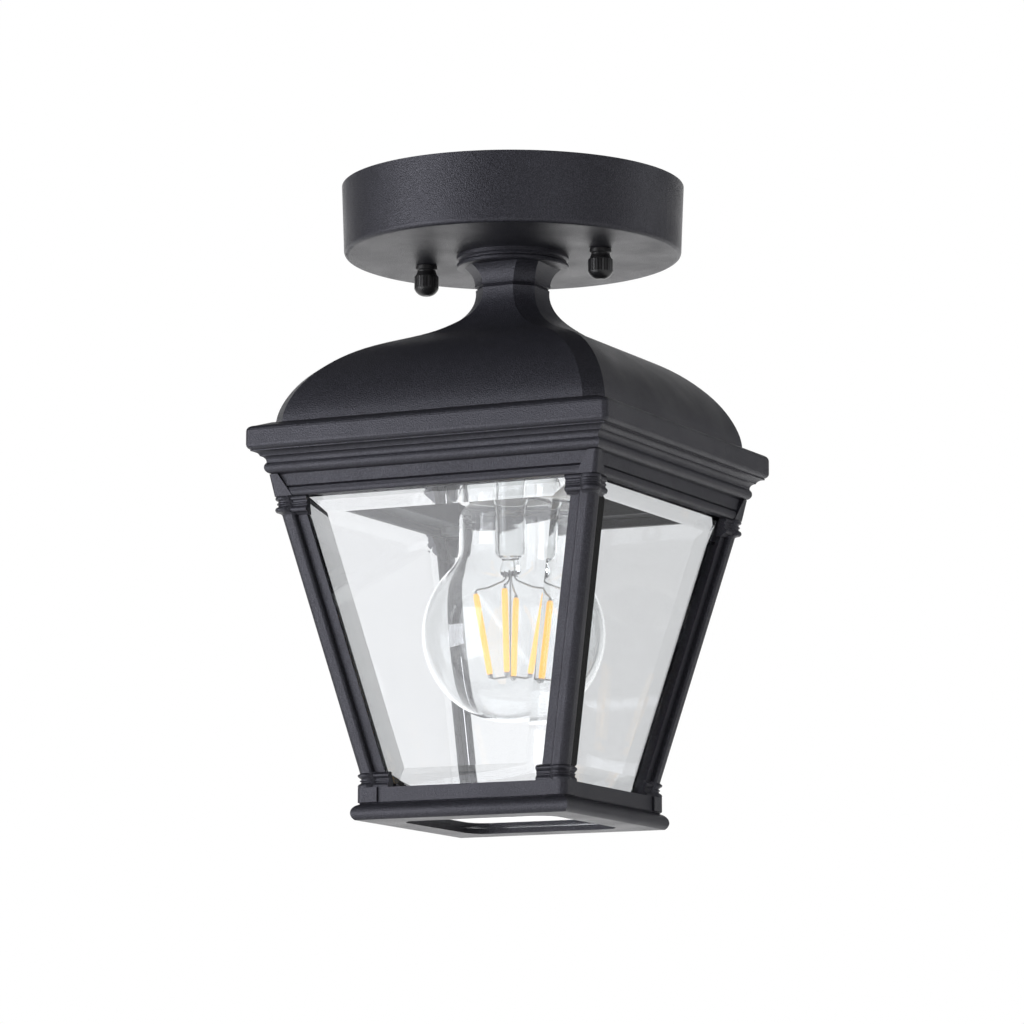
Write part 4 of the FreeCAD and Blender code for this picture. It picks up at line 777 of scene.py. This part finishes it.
class LANTERN_OT_lampholder(bpy.types.Operator):
    """Glazes the lampholder and finishes its contacts"""
    bl_idname = "lantern.lampholder"
    bl_label = "Finish Lampholder"

    def execute(self, context):
        dress(("lampholder_body",), glazed_porcelain())
        dress(BRASS_PARTS, rolled_brass())
        return {"FINISHED"}


class LANTERN_OT_lamp(bpy.types.Operator):
    """Makes the lamp: cap, contact, envelope, stem, wires and filaments"""
    bl_idname = "lantern.lamp"
    bl_label = "Make Lamp"

    def execute(self, context):
        finish = context.scene.lantern_finish
        dress(("bulb_insulator",), black_cap_glass())
        dress(("bulb_contact",), tin_solder())
        lamp_cap()
        lamp_envelope(finish)
        lamp_stem(finish)
        lamp_filaments(finish)
        lamp_wires()
        return {"FINISHED"}


class LANTERN_OT_panes(bpy.types.Operator):
    """Glazes the cage"""
    bl_idname = "lantern.panes"
    bl_label = "Glaze Cage"

    def execute(self, context):
        dress(SIDE_PANES + ("bottom_glass",), bevelled_glass(context.scene.lantern_finish))
        return {"FINISHED"}


def soft_lamp(name, place_at, size, power, colour):
    """A square area lamp that looks at the lantern."""
    data = bpy.data.lights.new(name, "AREA")
    data.shape = "SQUARE"
    data.size = size
    data.energy = power
    data.color = colour
    lamp = bpy.data.objects.new(name, data)
    lamp.location = place_at
    lamp.rotation_euler = (Vector(LAMPS_AIM) - Vector(place_at)).to_track_quat("-Z", "Y").to_euler()
    bpy.context.scene.collection.objects.link(lamp)
    return lamp


def seen_white(tree):
    """1 for what the camera sees directly or through glass, and 0 for what a surface reflects."""
    rays = add_node(tree, "ShaderNodeLightPath")
    straight = add_node(tree, "ShaderNodeMath", {0: rays.outputs["Glossy Depth"], 1: 0.5},
                        operation="LESS_THAN").outputs["Value"]
    through = add_node(tree, "ShaderNodeMath", {0: rays.outputs["Is Transmission Ray"], 1: straight},
                       operation="MULTIPLY").outputs["Value"]
    return add_node(tree, "ShaderNodeMath", {0: rays.outputs["Is Camera Ray"], 1: through},
                    operation="MAXIMUM").outputs["Value"]


def reflected(tree):
    """1 for what a surface reflects, also where glass stands before or behind it."""
    rays = add_node(tree, "ShaderNodeLightPath")
    return add_node(tree, "ShaderNodeMath", {0: rays.outputs["Glossy Depth"], 1: 0.5},
                    operation="GREATER_THAN").outputs["Value"]


def white_room(stage):
    """World that is pure white behind the lantern and lights it mostly from below and the sides.
    Gloss shows a darker room with one pale backdrop in it."""
    world = bpy.data.worlds.new("white_room")
    bpy.context.scene.world = world
    world.use_nodes = True
    tree = world.node_tree
    background = tree.nodes["Background"]
    background.inputs["Color"].default_value = (1.0, 1.0, 1.0, 1.0)
    towards = add_node(tree, "ShaderNodeTexCoord").outputs["Generated"]
    height = add_node(tree, "ShaderNodeSeparateXYZ", {"Vector": towards}).outputs["Z"]
    middle = Vector(stage.backdrop_towards).normalized()
    facing = add_node(tree, "ShaderNodeVectorMath", {0: towards, 1: middle},
                      operation="DOT_PRODUCT").outputs["Value"]
    backdrop = add_node(tree, "ShaderNodeMapRange", {
        "Value": facing, "From Min": BACKDROP_EDGE[0], "From Max": BACKDROP_EDGE[1]},
        interpolation_type="SMOOTHSTEP").outputs["Result"]
    diffuse_room, gloss_room = [
        add_node(tree, "ShaderNodeMapRange", {"Value": height, "From Min": ROOM_SLOPE[0],
                                              "From Max": ROOM_SLOPE[1], "To Min": low,
                                              "To Max": high}).outputs["Result"]
        for low, high in ((stage.room_low, stage.room_high), (stage.gloss_low, stage.gloss_high))]
    gloss = add_node(tree, "ShaderNodeMix", {"Factor": backdrop, "A": gloss_room, "B": stage.backdrop})
    room = add_node(tree, "ShaderNodeMix", {"Factor": reflected(tree), "A": diffuse_room,
                                            "B": gloss.outputs["Result"]})
    add_node(tree, "ShaderNodeMix", {"Factor": seen_white(tree), "A": room.outputs["Result"], "B": 1.0},
             ("Result", background.inputs["Strength"]))


def pale_floor(stage):
    """Floor well below the lantern, white where the camera sees it directly or through glass."""
    plate = bmesh.new()
    bmesh.ops.create_grid(plate, x_segments=8, y_segments=8, size=FLOOR_HALF)
    material, tree, shader, where = new_material(
        "matt_white_floor", "f4f4f2", Roughness=0.9)
    grain = add_node(tree, "ShaderNodeTexNoise", {"Vector": where, "Scale": per_mm(4.0)})
    add_node(tree, "ShaderNodeBump", {"Height": grain.outputs["Fac"], "Distance": 0.05 * MM},
             ("Normal", shader.inputs["Normal"]))
    glow = add_node(tree, "ShaderNodeEmission", {"Color": (1.0, 1.0, 1.0, 1.0), "Strength": 1.0})
    pale = add_node(tree, "ShaderNodeEmission", {"Color": (1.0, 1.0, 1.0, 1.0),
                                                 "Strength": stage.floor_gloss})
    lit = add_node(tree, "ShaderNodeMixShader", {0: reflected(tree), 1: shader.outputs["BSDF"],
                                                 2: pale.outputs["Emission"]})
    mix = add_node(tree, "ShaderNodeMixShader", {0: seen_white(tree), 1: lit.outputs["Shader"],
                                                 2: glow.outputs["Emission"]})
    tree.links.new(mix.outputs["Shader"], tree.nodes["Material Output"].inputs["Surface"])
    floor = mesh_object("studio_floor", plate, material)
    floor.location.z = -stage.floor_drop


class LANTERN_OT_stage(bpy.types.Operator):
    """Sets up the camera, lamps, white room and floor"""
    bl_idname = "lantern.stage"
    bl_label = "Set Stage"

    def execute(self, context):
        stage = context.scene.lantern_stage
        data = bpy.data.cameras.new("photo_camera")
        data.sensor_width = 36.0
        data.lens = stage.camera_lens
        data.clip_end = 100.0
        camera = bpy.data.objects.new("photo_camera", data)
        turn = Matrix.Rotation(stage.camera_azimuth, 4, "Z")
        tilt = Matrix.Rotation(math.pi / 2 + stage.camera_pitch, 4, "X")
        roll = Matrix.Rotation(stage.camera_roll, 4, "Z")
        camera.matrix_world = Matrix.Translation(stage.camera_place) @ turn @ tilt @ roll
        context.scene.collection.objects.link(camera)
        context.scene.camera = camera
        for name, place_at, size in STUDIO_LAMPS:
            soft_lamp(name, place_at, size, getattr(stage, f"{name}_power"), stage.lamp_colour[:3])
        white_room(stage)
        pale_floor(stage)
        context.scene.view_settings.view_transform = "Standard"
        return {"FINISHED"}


class LANTERN_PT_sidebar(bpy.types.Panel):
    """Lists the lantern's steps"""
    bl_idname = "LANTERN_PT_sidebar"
    bl_label = "Porch Lantern"
    bl_space_type = "VIEW_3D"
    bl_region_type = "UI"
    bl_category = "Lantern"

    def draw(self, context):
        for step in STEPS:
            self.layout.operator(step.bl_idname)
        for group in (context.scene.lantern_finish, context.scene.lantern_stage):
            for name in group.__annotations__:
                self.layout.prop(group, name)


STEPS = (LANTERN_OT_castings, LANTERN_OT_cap_nuts, LANTERN_OT_ceiling_hardware, LANTERN_OT_lampholder,
         LANTERN_OT_lamp, LANTERN_OT_panes, LANTERN_OT_stage)
CLASSES = (LanternFinish, LanternStage) + STEPS + (LANTERN_PT_sidebar,)


def register():
    for item in CLASSES:
        bpy.utils.register_class(item)
    bpy.types.Scene.lantern_finish = PointerProperty(type=LanternFinish)
    bpy.types.Scene.lantern_stage = PointerProperty(type=LanternStage)


def unregister():
    del bpy.types.Scene.lantern_stage
    del bpy.types.Scene.lantern_finish
    for item in reversed(CLASSES):
        bpy.utils.unregister_class(item)


def main():
    register()
    for step in STEPS:
        group, action = step.bl_idname.split(".")
        getattr(getattr(bpy.ops, group), action)()


if __name__ == "__main__":
    main()
